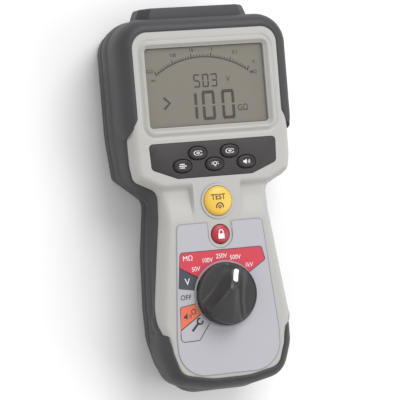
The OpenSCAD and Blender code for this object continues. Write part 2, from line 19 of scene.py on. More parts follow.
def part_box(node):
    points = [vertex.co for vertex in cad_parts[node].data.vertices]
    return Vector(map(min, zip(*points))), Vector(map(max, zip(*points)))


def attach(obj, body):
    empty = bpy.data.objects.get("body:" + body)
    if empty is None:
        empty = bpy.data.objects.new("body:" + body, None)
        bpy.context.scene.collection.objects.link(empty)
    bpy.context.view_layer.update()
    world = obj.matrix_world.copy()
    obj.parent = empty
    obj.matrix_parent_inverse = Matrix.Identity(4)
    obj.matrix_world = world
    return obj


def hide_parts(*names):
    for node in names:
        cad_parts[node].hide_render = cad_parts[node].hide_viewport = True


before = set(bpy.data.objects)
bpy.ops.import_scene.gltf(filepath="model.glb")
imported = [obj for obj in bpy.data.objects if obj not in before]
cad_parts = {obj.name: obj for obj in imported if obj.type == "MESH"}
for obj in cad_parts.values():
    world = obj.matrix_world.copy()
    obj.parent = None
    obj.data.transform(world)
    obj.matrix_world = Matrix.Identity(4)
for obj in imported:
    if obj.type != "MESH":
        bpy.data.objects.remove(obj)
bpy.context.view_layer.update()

MM = 0.001
CASE = "case_body"


# %% [markdown]
# ## Places read from the frame
# A piece that is drawn here has to meet the working parts. Its sizes could be typed in, but then a
# change to a working part would open a gap, so they start from the parts' boxes. WAIST_X is half the
# width of the waist, and RUBBER is how thick the rubber lies over the case.

# %% Read the places
def box_mm(node):
    low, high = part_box(node)
    return Vector(low) / MM, Vector(high) / MM


def middle(node):
    low, high = box_mm(node)
    return (low + high) / 2


FACE_Z, LABEL_Z = (corner.z for corner in box_mm("label_overlay"))
HEAD_X, HEAD_Y, SPLIT_Z = box_mm("rear_armour")[1]
END_Y = box_mm("rear_armour")[0].y
BUMPER_Y = box_mm("head_bumper")[0].y
GRIP_X, GRIP_END_Y = box_mm("end_bumper")[1].xy
WINDOW = middle("display_window")
WINDOW_LOW, WINDOW_HIGH = box_mm("display_window")
WINDOW_SIZE = WINDOW_HIGH - WINDOW_LOW
TEST = middle("test_button")
LOCK = middle("lock_button")
KNOB = middle("knob_ring")
KNOB_RING_WIDTH = 1.3
KNOB_R = box_mm("knob_ring")[1].x - KNOB.x - KNOB_RING_WIDTH
WAIST_X = 33.4
RUBBER = 3.0
KEY_NAMES = [f"key_{i}" for i in range(1, 6)]
print(f"face at {FACE_Z:.1f} mm, knob centre {KNOB.x:.1f}, {KNOB.y:.1f} mm, radius {KNOB_R:.1f} mm")


# %% [markdown]
# ## Writing shader maths as Python
# Nodes can be wired one by one, but a long recipe is then hard to read. A socket is wrapped in a
# small class instead, so that noise * 0.3 + 0.7 adds the Math nodes by itself, and one method adds
# any other node.

# %% Shader helpers
class Value:
    """A socket that takes part in Python arithmetic."""

    def __init__(self, graph, socket):
        self.graph = graph
        self.socket = socket

    def maths(self, operation, *others):
        return self.graph.node("ShaderNodeMath", {"operation": operation}, [self, *others])

    def __add__(self, other):
        return self.maths("ADD", other)

    def __mul__(self, other):
        return self.maths("MULTIPLY", other)

    def __sub__(self, other):
        return self.maths("SUBTRACT", other)

    def __rsub__(self, other):
        return self.graph.node("ShaderNodeMath", {"operation": "SUBTRACT"}, [other, self])

    __radd__ = __add__
    __rmul__ = __mul__

    def above(self, limit):
        return self.maths("GREATER_THAN", limit)

    def absolute(self):
        return self.maths("ABSOLUTE")


class Graph:
    """A material's node tree, with one method that adds any node."""

    def __init__(self, name):
        self.material = bpy.data.materials.new(name)
        self.material.use_nodes = True
        self.tree = self.material.node_tree
        self.shader = self.tree.nodes["Principled BSDF"]

    def node(self, kind, settings=None, values=(), output=0):
        made = self.tree.nodes.new(kind)
        for key, setting in (settings or {}).items():
            setattr(made, key, setting)
        pairs = values.items() if isinstance(values, dict) else enumerate(values)
        for key, value in pairs:
            self.put(made.inputs[key], value)
        return Value(self, made.outputs[output])

    def put(self, socket, value):
        if isinstance(value, Value):
            self.tree.links.new(value.socket, socket)
        else:
            socket.default_value = value

    def place(self):
        return self.node("ShaderNodeTexCoord", output="Object")

    def scaled(self, scale):
        vector = scale if isinstance(scale, tuple) else (scale, scale, scale)
        return self.node("ShaderNodeMapping", None, {"Vector": self.place(), "Scale": vector})

    def noise(self, scale, detail=3.0, rough=0.55):
        values = {"Vector": self.scaled(scale), "Scale": 1.0, "Detail": detail, "Roughness": rough}
        return self.node("ShaderNodeTexNoise", None, values, "Fac")

    def mix(self, factor, first, second):
        values = {0: factor, 6: (*first, 1.0) if isinstance(first, tuple) else first,
                  7: (*second, 1.0) if isinstance(second, tuple) else second}
        return self.node("ShaderNodeMix", {"data_type": "RGBA"}, values, 2)

    def bump(self, height, strength, distance):
        values = {"Strength": strength, "Distance": distance, "Height": height}
        return self.node("ShaderNodeBump", None, values)

    def set(self, **values):
        for key, value in values.items():
            self.put(self.shader.inputs[key.replace("_", " ")], value)


def shade(colour, factor):
    return tuple(min(1.0, c * factor) for c in colour)


print("shader helpers ready")


# %% [markdown]
# ## Moulded and rubber finishes
# A moulded plastic has a fine spark-eroded grain that breaks up its shine, and large soft patches
# where it has been handled. Rubber has a coarser grain and more dust in it. The same recipe with
# other numbers makes each of them.

# %% Mouldings and rubber
HANDLED_SCALE = 38.0
DUST_SHARE = 0.66


def moulded(name, colour, rough=0.5, grain=900.0, depth=0.25, wear=0.06, spec=0.5, coat=0.0):
    g = Graph(name)
    fine = g.noise(grain, 2.0)
    patches = g.noise(HANDLED_SCALE, 4.0)
    specks = g.noise(grain * 0.45, 2.0, 0.7)
    base = g.mix(patches, shade(colour, 1 - wear), shade(colour, 1 + wear))
    dusty = g.mix(specks.above(DUST_SHARE) * (wear * 2), base, shade(colour, 1.25))
    g.set(Base_Color=dusty, Roughness=patches * 0.14 + (rough - 0.07) + fine * 0.04)
    g.set(Normal=g.bump(fine, depth, 0.00012), Specular_IOR_Level=spec, Coat_Weight=coat)
    g.set(Coat_Roughness=0.25)
    return g.material


SHELL = moulded("shell_grain", (0.435, 0.425, 0.408), 0.46, 1500.0, 0.22, 0.025)
RUBBER_SKIN = moulded("overmould_rubber", (0.041, 0.040, 0.044), 0.50, 1100.0, 0.4, 0.10, 0.45)
INNER = moulded("inner_moulding", (0.030, 0.030, 0.032), 0.6, 1000.0, 0.3, 0.08, 0.4)
PANEL = moulded("keypad_grain", (0.032, 0.028, 0.031), 0.5, 1400.0, 0.35, 0.06, 0.45)
KEY_RUBBER = moulded("key_rubber", (0.012, 0.011, 0.012), 0.42, 1300.0, 0.25, 0.08, 0.5)
KNOB_PLASTIC = moulded("knob_plastic", (0.026, 0.024, 0.026), 0.36, 1600.0, 0.16, 0.06, 0.5)
YELLOW = moulded("yellow_button", (0.78, 0.50, 0.07), 0.38, 1200.0, 0.2, 0.03, 0.5, 0.15)
RED = moulded("red_button", (0.40, 0.022, 0.036), 0.36, 1200.0, 0.2, 0.03, 0.5, 0.15)
SEAL = moulded("seal_rubber", (0.02, 0.02, 0.022), 0.7, 1200.0, 0.3, 0.1, 0.35)
SEAL_RED = moulded("seal_silicone", (0.25, 0.02, 0.02), 0.55, 1200.0, 0.3, 0.08, 0.4)
SILICONE = moulded("dome_silicone", (0.32, 0.32, 0.30), 0.5, 900.0, 0.2, 0.05, 0.4)
ACETAL = moulded("white_acetal", (0.72, 0.70, 0.64), 0.4, 1200.0, 0.15, 0.04, 0.5)
RING = moulded("dial_ring", (0.34, 0.34, 0.355), 0.35, 1400.0, 0.15, 0.04, 0.5)
SOCKET_BLACK = moulded("socket_black_plastic", (0.018, 0.018, 0.019), 0.32, 1500.0, 0.15, 0.06, 0.5)
SOCKET_RED = moulded("socket_red_plastic", (0.42, 0.02, 0.022), 0.32, 1500.0, 0.15, 0.05, 0.5)
WHITE = moulded("white_moulding", (0.86, 0.86, 0.85), 0.4, 1500.0, 0.12, 0.03, 0.5)
print("mouldings made:", len(bpy.data.materials))


# %% [markdown]
# ## Film, ink and the display
# The dial is printed on the back of a textured polyester film, so its inks share the film's fine
# texture. The display behind the window is an olive grey cell with a slight blotch of colour.

# %% Film, inks, display
def film(name, colour, rough=0.42, texture=2600.0, spread=0.02):
    g = Graph(name)
    grain = g.noise(texture, 2.0, 0.6)
    soft = g.noise(30.0, 2.0)
    g.set(Base_Color=g.mix(soft, shade(colour, 1 - spread), shade(colour, 1 + spread)))
    g.set(Roughness=soft * 0.08 + rough, Normal=g.bump(grain, 0.18, 0.00005))
    return g.material


def display_cell():
    g = Graph("display_cell")
    blotch = g.noise((16.0, 22.0, 10.0), 2.0, 0.6)
    fine = g.noise(3000.0, 1.0)
    tint = g.mix(blotch, (0.178, 0.170, 0.130), (0.205, 0.180, 0.152))
    g.set(Base_Color=g.mix(fine * 0.25, tint, (0.15, 0.142, 0.112)), Roughness=blotch * 0.1 + 0.5)
    g.set(Normal=g.bump(fine, 0.1, 0.00003))
    return g.material


def clear_window():
    g = Graph("clear_window")
    smear = g.noise((24.0, 60.0, 30.0), 4.0, 0.65)
    g.set(Base_Color=(0.30, 0.30, 0.27, 1.0), Roughness=smear * 0.16 + 0.10)
    g.set(Alpha=smear * 0.03 + 0.05, Normal=g.bump(smear, 0.04, 0.0001))
    g.material.surface_render_method = "BLENDED"
    return g.material


LABEL = film("label_film", (0.425, 0.425, 0.460), 0.40, 2600.0, 0.02)
LABEL_EDGE = film("label_edge_ink", (0.22, 0.22, 0.24))
INK_RED = film("red_ink", (0.57, 0.040, 0.068))
INK_SLATE = film("slate_ink", (0.050, 0.058, 0.075))
INK_ORANGE = film("orange_ink", (0.70, 0.155, 0.08))
INK_WHITE = film("white_ink", (0.86, 0.80, 0.82))
INK_DARK = film("dark_ink", (0.030, 0.033, 0.045))
SEGMENT = film("display_segment", (0.018, 0.016, 0.009), 0.5)
SEGMENT_FAINT = film("display_scale", (0.022, 0.020, 0.012), 0.5)
DISPLAY = display_cell()
GLASS = clear_window()
print("film and display finishes ready")


# %% [markdown]
# ## Metal, boards and cells
# Turned metal carries fine rings of tool marks, so its noise is stretched across the axis. A board
# shows copper tracks under its green mask, which the edges of square cells give without drawing a
# circuit, and a battery cell has a printed sleeve in two colours. The inside is seen only when the
# cover is off, so these recipes stay short.

# %% Metal, boards, cells
def metal(name, colour, rough, stretch=(300.0, 300.0, 2600.0)):
    g = Graph(name)
    marks = g.noise(stretch, 3.0, 0.6)
    stain = g.noise(60.0, 3.0)
    g.set(Base_Color=g.mix(stain, shade(colour, 0.86), shade(colour, 1.06)), Metallic=1.0)
    g.set(Roughness=marks * 0.16 + stain * 0.1 + rough, Normal=g.bump(marks, 0.2, 0.00005))
    return g.material


def circuit_board():
    g = Graph("circuit_board")
    cells = {"Vector": g.scaled((260.0, 180.0, 1.0)), "Scale": 1.0, "Randomness": 0.2}
    cell = g.node("ShaderNodeTexVoronoi", {"distance": "CHEBYCHEV"}, cells, "Distance")
    track = (cell - 0.34).absolute()
    copper = 1 - track.above(0.06)
    weave = g.noise(1800.0, 2.0)
    g.set(Base_Color=g.mix(copper, (0.012, 0.085, 0.034), (0.035, 0.19, 0.085)))
    g.set(Roughness=weave * 0.1 + 0.32, Normal=g.bump(copper + weave * 0.3, 0.3, 0.00006))
    return g.material


SLEEVE_BAND_X = 0.0135


def cell_sleeve():
    g = Graph("cell_sleeve")
    place = g.node("ShaderNodeSeparateXYZ", None, [g.place()])
    band = place.absolute().above(SLEEVE_BAND_X)
    wrap = g.noise(400.0, 2.0)
    g.set(Base_Color=g.mix(band, (0.035, 0.035, 0.04), (0.60, 0.34, 0.06)), Coat_Weight=0.3)
    g.set(Roughness=wrap * 0.1 + 0.28, Metallic=band * 0.6, Coat_Roughness=0.15)
    g.set(Normal=g.bump(wrap, 0.08, 0.00006))
    return g.material


STEEL = metal("zinc_plate", (0.56, 0.56, 0.58), 0.26)
BRASS = metal("turned_brass", (0.80, 0.58, 0.26), 0.2, (2600.0, 300.0, 2600.0))
BOARD = circuit_board()
SLEEVE = cell_sleeve()
WAFER = moulded("phenolic_wafer", (0.26, 0.13, 0.05), 0.5, 700.0, 0.2, 0.1)
FERRITE = moulded("wound_core", (0.03, 0.028, 0.026), 0.6, 500.0, 0.5, 0.15)
CAPACITOR = moulded("capacitor_sleeve", (0.03, 0.05, 0.22), 0.3, 800.0, 0.1, 0.05)
CERAMIC = moulded("ceramic_tube", (0.78, 0.76, 0.70), 0.3, 900.0, 0.1, 0.04)
LIGHT_GUIDE = moulded("light_guide", (0.80, 0.82, 0.78), 0.35, 900.0, 0.1, 0.03)

CAD_FINISH = {
    "rear_case": INNER, "case_gasket": SEAL, "label_overlay": LABEL, "display_window": GLASS,
    "display_panel": DISPLAY, "display_carrier": INNER, "backlight": LIGHT_GUIDE,
    "keypad_panel": PANEL, "key_mat": SEAL, "test_ring": SHELL, "test_dome": SILICONE,
    "lock_dome": SILICONE, "knob_pointer": WHITE, "knob_ring": RING, "knob_spindle": STEEL,
    "spindle_seal": SEAL, "spindle_bush": ACETAL, "switch_rotor": ACETAL, "switch_wafer": WAFER,
    "display_board": BOARD, "main_board": BOARD, "board_screws": STEEL, "transformer": FERRITE,
    "buzzer": INNER, "capacitors": CAPACITOR, "connector_block": RUBBER_SKIN,
    "socket_black": SOCKET_BLACK, "socket_red": SOCKET_RED, "socket_remote": SOCKET_BLACK,
    "socket_contacts": BRASS, "remote_pins": BRASS, "battery_tray": INNER, "cells": SLEEVE,
    "battery_contacts": STEEL, "fuse": CERAMIC, "fuse_clips": BRASS, "battery_cover": INNER,
    "cover_seal": SEAL_RED, "cover_screw": STEEL, "cover_insert": BRASS, "stand": INNER,
    "stand_pins": STEEL, "case_screws": STEEL, "front_case": SHELL, "head_bumper": RUBBER_SKIN,
    "end_bumper": RUBBER_SKIN, "rear_armour": RUBBER_SKIN, "knob": KNOB_PLASTIC,
    "test_button": YELLOW, "lock_button": RED, **{name: KEY_RUBBER for name in KEY_NAMES},
}
for node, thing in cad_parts.items():
    thing.data.materials.clear()
    thing.data.materials.append(CAD_FINISH[node])
print("finishes on", len(CAD_FINISH), "working parts")


# %% [markdown]
# ## Outlines with rounded corners
# The case, the rubber and the label all follow outlines whose corners are rounded by arcs. A curve
# object with handles could be filleted, but its points change when it is offset. Here each corner is
# moved in by itself, which keeps the number of points, so that rings at several insets can be joined.

# %% Outline helpers
ARC_STEP = 6.0
RUN_STEP = 2.5


def both_sides(side):
    return list(side) + [(-x, y, r) for x, y, r in reversed(side)]


def heading(a, b):
    return (Vector(b[:2]) - Vector(a[:2])).normalized()


def corner_arcs(corners, inset):
    """The points round each corner of a clockwise outline moved in by inset."""
    arcs = []
    for i, (x, y, radius) in enumerate(corners):
        before = heading(corners[i - 1], corners[i])
        after = heading(corners[i], corners[(i + 1) % len(corners)])
        inward = Vector((before.y, -before.x))
        inward_after = Vector((after.y, -after.x))
        spot = Vector((x, y)) + inset * (inward + inward_after) / (1 + before.dot(after))
        turn = math.acos(max(-1.0, min(1.0, before.dot(after))))
        side = 1 if before.cross(after) < 0 else -1
        if radius == 0:
            arcs.append([spot])
            continue
        bend = max(0.3, radius - side * inset)
        start = spot - before * bend * math.tan(turn / 2)
        centre = start + side * bend * inward
        angle = math.atan2(start.y - centre.y, start.x - centre.x)
        steps = max(1, math.ceil(math.degrees(turn) / ARC_STEP))
        angles = [angle - side * turn * j / steps for j in range(steps + 1)]
        arcs.append([centre + bend * Vector((math.cos(a), math.sin(a))) for a in angles])
    return arcs


def outline(corners, inset=0.0):
    base = corner_arcs(corners, 0.0)
    arcs = corner_arcs(corners, inset)
    points = []
    for i, arc in enumerate(arcs):
        following = (i + 1) % len(arcs)
        pieces = int((base[following][0] - base[i][-1]).length / RUN_STEP) + 1
        points += arc
        points += [arc[-1].lerp(arcs[following][0], j / pieces) for j in range(1, pieces)]
    return points


def round_rect(centre, width, height, radius):
    x, y = width / 2, height / 2
    corners = [(x, y, radius), (x, -y, radius), (-x, -y, radius), (-x, y, radius)]
    return [(cx + centre[0], cy + centre[1], r) for cx, cy, r in corners]


def circle_points(centre, radius, count=64):
    turns = [2 * math.pi * i / count for i in range(count)]
    return [Vector((centre[0] + radius * math.cos(t), centre[1] + radius * math.sin(t)))
            for t in turns]


def arc_points(centre, radius, start, stop, step, tall=None):
    """Points on an arc between two angles in degrees. A second radius makes it elliptic."""
    tall = radius if tall is None else tall
    turns = [math.radians(start + step * i) for i in range(round((stop - start) / step) + 1)]
    return [(centre[0] + radius * math.cos(t), centre[1] + tall * math.sin(t)) for t in turns]


def raised(points, z):
    """Flat points lifted to one height."""
    return [(p.x, p.y, z) for p in points]


def smooth(low, high, value):
    t = max(0.0, min(1.0, (value - low) / (high - low)))
    return t * t * (3 - 2 * t)


print("outline helpers ready")


# %% [markdown]
# ## Gathering a skin
# A skin collects rings and sheets of points, joins them with faces and is made into one closed mesh.
# A flat area with holes is filled by a constrained Delaunay triangulation, which keeps each edge.

# %% The skin class
CLEAR_SHARE = 0.55


def crossings(points, loops):
    """For each point, whether it is inside an odd number of the loops."""
    inside = np.zeros(len(points), bool)
    for loop in loops:
        a = np.array([tuple(p) for p in loop])
        b = np.roll(a, -1, axis=0)
        for (x0, y0), (x1, y1) in zip(a, b):
            if y0 == y1:
                continue
            spans = (points[:, 1] < y0) != (points[:, 1] < y1)
            inside ^= spans & (points[:, 0] < (x1 - x0) * (points[:, 1] - y0) / (y1 - y0) + x0)
    return inside


class Skin:
    """Points in millimetres and the faces between them."""

    def __init__(self):
        self.points = []
        self.faces = []

    def ring(self, points):
        start = len(self.points)
        self.points += [tuple(p) for p in points]
        return list(range(start, len(self.points)))

    def band(self, low, high, closed=True):
        count = len(low) if closed else len(low) - 1
        for i in range(count):
            j = (i + 1) % len(low)
            self.faces.append((low[i], low[j], high[j], high[i]))

    def cap(self, ring):
        self.faces.append(tuple(ring))

    def rings(self, rings, closed=True):
        made = [self.ring(r) for r in rings]
        for low, high in zip(made, made[1:]):
            self.band(low, high, closed)
        return made

    def sheet(self, loops, height, spacing, lines=()):
        """A sheet bounded by the first loop with the others as holes. Returns each loop's points."""
        flat = [Vector(p[:2]) for loop in [*loops, *lines] for p in loop]
        edges, start = [], 0
        for loop in [*loops, *lines]:
            n = len(loop)
            edges += [(start + i, start + (i + 1) % n) for i in range(n)]
            start += n
        if spacing:
            rim = np.array([tuple(p) for p in flat])
            low, high = rim.min(axis=0), rim.max(axis=0)
            xs = np.arange(low[0] + spacing / 2, high[0], spacing)
            ys = np.arange(low[1] + spacing / 2, high[1], spacing)
            grid = np.array([(x, y) for y in ys for x in xs])
            grid = grid[crossings(grid, loops)]
            gaps = np.array([np.min(np.hypot(*(rim - p).T)) for p in grid])
            flat += [Vector(p) for p in grid[gaps > spacing * CLEAR_SHARE]]
        spots, _, tris, origins, _, _ = delaunay_2d_cdt(flat, edges, [], 0, 1e-5)
        centres = np.array([tuple(sum((spots[i] for i in t), Vector((0, 0))) / 3) for t in tris])
        keep = crossings(centres, loops)
        base = len(self.points)
        self.points += [(p.x, p.y, height(p.x, p.y)) for p in spots]
        self.faces += [tuple(base + i for i in t) for t, k in zip(tris, keep) if k]
        found = {origin: base + i for i, group in enumerate(origins) for origin in group}
        out, start = [], 0
        for loop in loops:
            out.append([found[start + i] for i in range(len(loop))])
            start += len(loop)
        return out

    def made(self, name, body, slot, material, nodes=(), sharp=35.0):
        mesh = bpy.data.meshes.new(name)
        mesh.from_pydata([[c * MM for c in p] for p in self.points], [], self.faces)
        shape = bmesh.new()
        shape.from_mesh(mesh)
        bmesh.ops.remove_doubles(shape, verts=shape.verts, dist=1e-6)
        bmesh.ops.delete(shape, geom=[v for v in shape.verts if not v.link_faces], context="VERTS")
        bmesh.ops.recalc_face_normals(shape, faces=shape.faces)
        open_edges = sum(1 for e in shape.edges if len(e.link_faces) != 2)
        shape.to_mesh(mesh)
        shape.free()
        finished(name, mesh, body, material, nodes, sharp, open_edges)


def finished(name, mesh, body, material, nodes=(), sharp=35.0, open_edges=0):
    """Puts a mesh in the scene as a piece that rides on a body."""
    mesh.materials.clear()
    mesh.materials.append(material)
    mesh.polygons.foreach_set("use_smooth", [True] * len(mesh.polygons))
    mesh.set_sharp_from_angle(angle=math.radians(sharp))
    piece = bpy.data.objects.new(name, mesh)
    bpy.context.scene.collection.objects.link(piece)
    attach(piece, body)
    if nodes:
        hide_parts(*nodes)
    print(f"{name}: {len(mesh.polygons)} faces, {open_edges} open edges")


# %% [markdown]
# ## The front moulding
# The light grey front is one moulding: a head with a raised frame round the window, a pocket for the
# keypad, a spine under the test button with a thumb scoop on each side, and a grip that widens to
# the end. Its face is a sheet whose height is a sum of simple rules, and its rim is a stack of rings.

# %% Front outline and heights
FRONT_SIDE = [
    (HEAD_X - 3, HEAD_Y - 3, 15), (HEAD_X - 3.7, 22, 20), (HEAD_X - 5.4, 13, 6), (WAIST_X, 5.5, 7),
    (WAIST_X + 0.6, -10, 30), (GRIP_X, GRIP_END_Y + 3.0, 8), (GRIP_X - RUBBER, GRIP_END_Y - 7.0, 8),
    (GRIP_X - RUBBER, END_Y + 26, 20), (GRIP_X - 8.6, END_Y + 9.2, 12), (12, END_Y + 4.8, 40),
]
FRONT = both_sides(FRONT_SIDE)
EDGE_INSET = 5.0
EDGE_DROP = 8.0
WALL_TOP = FACE_Z - EDGE_DROP
WALL_LEAN = 3.2
BEZEL = (0.0, WINDOW.y - 0.5)
BEZEL_SIZE = (82.6, 55.0)
BEZEL_RADIUS = 6.0
BEZEL_RISE = 0.9
BEZEL_GROOVE = 0.55
WINDOW_GAP = 0.2
WINDOW_RADIUS = 2.0
WINDOW_SLOPE = 2.4
WINDOW_LIP = WINDOW_HIGH.z + 0.3
SCOOP = 3.2
SPINE_X = 14.8
SPINE_EDGE = 1.5


def window_hole_size():
    return WINDOW_SIZE.x + WINDOW_GAP, WINDOW_SIZE.y + WINDOW_GAP


def rect_distance(x, y, centre, width, height, radius):
    """How far a point is outside a rounded rectangle, negative inside it."""
    dx = abs(x - centre[0]) - width / 2 + radius
    dy = abs(y - centre[1]) - height / 2 + radius
    return math.hypot(max(dx, 0.0), max(dy, 0.0)) + min(max(dx, dy), 0.0) - radius


def scoop_depth(x, y):
    across = smooth(SPINE_X, SPINE_X + SPINE_EDGE, abs(x))
    along = smooth(9.6, 5.6, y) * smooth(-13.6, 3.0, y)
    return SCOOP * across * along


def wall_inset(z):
    """How far the side of the case lies inside its outline at height z."""
    if z < WALL_TOP:
        return WALL_LEAN * ((WALL_TOP - z) / (WALL_TOP - SPLIT_Z)) ** 1.6
    return EDGE_INSET * (1 - math.sqrt(1 - min(1.0, (z - WALL_TOP) / EDGE_DROP) ** 2))


def face_height(x, y):
    z = FACE_Z - scoop_depth(x, y)
    outer = rect_distance(x, y, BEZEL, *BEZEL_SIZE, BEZEL_RADIUS)
    z += BEZEL_RISE * smooth(0.0, -1.4, outer)
    z -= BEZEL_GROOVE * smooth(1.6, 0.8, outer) * smooth(-0.4, 0.4, outer)
    inner = rect_distance(x, y, WINDOW, *window_hole_size(), WINDOW_RADIUS)
    return z + (WINDOW_LIP - z) * (1 - smooth(0.0, WINDOW_SLOPE, inner))


print("front outline has", len(outline(FRONT)), "points")


# %% [markdown]
# ### Building it
# The face could be subdivided and sculpted, but its creases would then be soft where the real ones
# are crisp. Here lines are laid along each crease before the sheet is triangulated, so that every
# edge of the height rules falls on an edge of the mesh.

# %% Build the front moulding
KEYPAD = both_sides([(40.2, 33.9, 2.5), (39.5, 18.8, 3), (23.6, 12.6, 4)])
BACK_PLANE = FACE_Z - 4.0


FACE_SPACING = 1.3
ROUND_HOLES = ((TEST, 10.5), (LOCK, 6.05), (KNOB, 6.0))


def rim_ring(inset, z, share):
    return [(p.x, p.y, z - share * scoop_depth(p.x, p.y)) for p in outline(FRONT, inset)]


def grown(centre, size, radius, margin):
    return outline(round_rect(centre, size[0] + 2 * margin, size[1] + 2 * margin, radius + margin))


def crease_lines():
    lines = [grown(BEZEL, BEZEL_SIZE, BEZEL_RADIUS, d) for d in (-1.4, -0.7, 0.0, 0.8, 1.6)]
    lines += [grown(WINDOW, WINDOW_SIZE, WINDOW_RADIUS, d) for d in (0.8, 1.6, WINDOW_SLOPE)]
    for side in (-1, 1):
        edge = (side * (SPINE_X + SPINE_EDGE / 2), -2.8)
        shoulder = (side * (SPINE_X + 6.5), 7.6)
        lines.append(outline(round_rect(edge, SPINE_EDGE, 21.6, 0)))
        lines.append(outline(round_rect(shoulder, 9.0, 4.0, 0)))
    return lines


def front_moulding():
    skin = Skin()
    holes = [outline(round_rect(WINDOW, *window_hole_size(), WINDOW_RADIUS)), outline(KEYPAD)]
    holes += [circle_points(place, radius) for place, radius in ROUND_HOLES]
    rim = outline(FRONT, EDGE_INSET)
    top = skin.sheet([rim, *holes], face_height, FACE_SPACING, crease_lines())
    back = skin.sheet([rim, *holes], lambda x, y: BACK_PLANE, 0)
    for high, low in zip(top[1:], back[1:]):
        skin.band(low, high)
    levels = [SPLIT_Z + (WALL_TOP - SPLIT_Z) * t / 6 for t in range(7)]
    wall = [rim_ring(wall_inset(z), z, 0.0) for z in levels]
    turns = [math.radians(9 * i) for i in range(1, 10)]
    edge = [rim_ring(EDGE_INSET * (1 - math.cos(a)), FACE_Z - EDGE_DROP * (1 - math.sin(a)),
                     math.sin(a) ** 2) for a in turns]
    made = skin.rings([*wall, *edge])
    skin.band(made[-1], top[0])
    inner = skin.ring(raised(outline(FRONT, EDGE_INSET + 0.6), SPLIT_Z))
    skin.band(inner, made[0])
    skin.band(back[0], inner)
    skin.made("front_moulding", CASE, "shell_grey", SHELL, ["front_case"])


front_moulding()


# %% [markdown]
# ## The rubber bumpers
# Rubber is moulded over the corners of the case. Each bumper is a thick section carried round part of
# the outline: it swells over the side, rolls over the edge to a crest on the face, and dips where it
# meets the hard case. Towards each end its inner edge swings outwards in a soft step.

# %% Bumpers
BUMPER_SECTION = [
    (-2.7, -20.0), (-2.9, -17.5), (-3.0, -14.0), (-3.0, -10.5), (-2.8, -8.0), (-2.3, -5.6),
    (-1.4, -3.4), (-0.2, -1.7), (1.2, -0.5), (2.8, 0.25), (4.2, 0.5), (5.3, 0.15), (5.9, -0.7),
    (6.3, -1.6), (6.3, -3.0), (3.4, -5.0), (1.4, -9.0), (1.2, -14.0), (3.3, -20.0),
]
LEAN_LENGTH = 14.0
PULL_SHARE = 0.75


def bumper(name, corners, start_y, node, lean, reach, pull_length, tuck_length, tucked_inset):
    """A section swept round the part of an outline that lies beyond start_y.

    Towards its two ends it leans along the case, its inner edge is pulled out and its skin is
    tucked in against the case, each over its own length.
    """
    base = outline(corners)
    way = 1 if start_y > 0 else -1
    kept = [i for i, p in enumerate(base) if (p.y > start_y) == (way > 0)]
    jump = next((n for n in range(1, len(kept)) if kept[n] - kept[n - 1] > 1), 0)
    order = kept[jump:] + kept[:jump]
    seen = {}

    def point(inset, index):
        inset = round(inset, 2)
        if inset not in seen:
            seen[inset] = outline(corners, inset)
        return seen[inset][index]

    skin = Skin()
    sections = []
    for inset, drop in BUMPER_SECTION:
        inset = inset * reach if inset > 0 else inset
        ring = outline(corners, inset)
        row = []
        for i in order:
            near = abs(base[i].y - start_y)
            pull = max(0.0, inset) * PULL_SHARE * (1 - smooth(0.0, pull_length, near))
            tuck = 1 - smooth(0.0, tuck_length, near)
            p = point(inset - pull, i) if pull else ring[i]
            p = p.lerp(point(max(inset, tucked_inset), i), tuck)
            along = way * lean * (1.0 + drop / 10.0) * (1 - smooth(0.0, LEAN_LENGTH, near))
            row.append((p.x, p.y + along, FACE_Z + drop - tuck * max(0.0, drop + 3.0) * 0.5))
        sections.append(row)
    made = [skin.ring(row) for row in sections]
    for low, high in zip(made, made[1:] + made[:1]):
        skin.band(low, high, closed=False)
    skin.cap([row[0] for row in made])
    skin.cap([row[-1] for row in made])
    skin.made(name, CASE, "rubber_grey", RUBBER_SKIN, [node], 50.0)


HEAD_BUMPER = both_sides([(HEAD_X - 3, HEAD_Y - 3, 15), (HEAD_X - 3.2, 10, 0)])
END_BUMPER = both_sides([
    (GRIP_X - 3, END_Y + 60, 0), (GRIP_X - 3, END_Y + 26, 20), (GRIP_X - 8.6, END_Y + 9.2, 12),
    (12, END_Y + 4.8, 40),
])
bumper("head_rubber", HEAD_BUMPER, BUMPER_Y, "head_bumper", 4.0, 1.0, 7.0, 11.0, -0.6)
bumper("end_rubber", END_BUMPER, GRIP_END_Y, "end_bumper", 0.0, 0.66, 11.0, 6.0, -2.2)


# %% [markdown]
# ## The rubber back
# The back half wears a rubber skin with a flat to lie on, a soft edge, a grip groove along its side
# and openings for the stand, the battery cover and the screws. It is a stack of rings, each an
# inset outline at its own height, which puts every groove and edge in one short table.

# %% Rear armour
REAR = both_sides([
    (HEAD_X, HEAD_Y, 18), (HEAD_X, 40, 60), (HEAD_X - 2.6, 13.5, 9), (WAIST_X + 0.4, -0.5, 4),
    (WAIST_X + 4.1, -30, 60), (GRIP_X - 3.3, -62, 60), (GRIP_X - 3.7, END_Y + 32, 30),
    (33, END_Y + 13, 20), (21, END_Y, 15),
])
SCREW_PLACES = [(x, y) for x in (-43.5, 43.5) for y in (24.0, 94.0)]
SCREW_WELL_R = 3.0
BACK_THICKNESS = 2.55
BACK_SPACING = 4.0
OUTSIDE = [
    (0.15, 5.3), (0.5, 4.8), (1.2, 4.3), (2.4, 3.8), (4.2, 3.4), (6.5, 3.0), (9.5, 2.4), (12.5, 1.7),
    (14.5, 1.25), (15.3, 1.6), (16.4, 1.9), (17.6, 1.7), (18.7, 1.1), (19.5, 0.45), (22, 0.15),
    (26, 0.0), (28.4, 0.3), (29.6, 0.9), (SPLIT_Z, 1.6),
]
LINING = [(SPLIT_Z, 3.0), (19, 2.9), (10, 3.3), (5, 4.4), (BACK_THICKNESS, 6.3)]


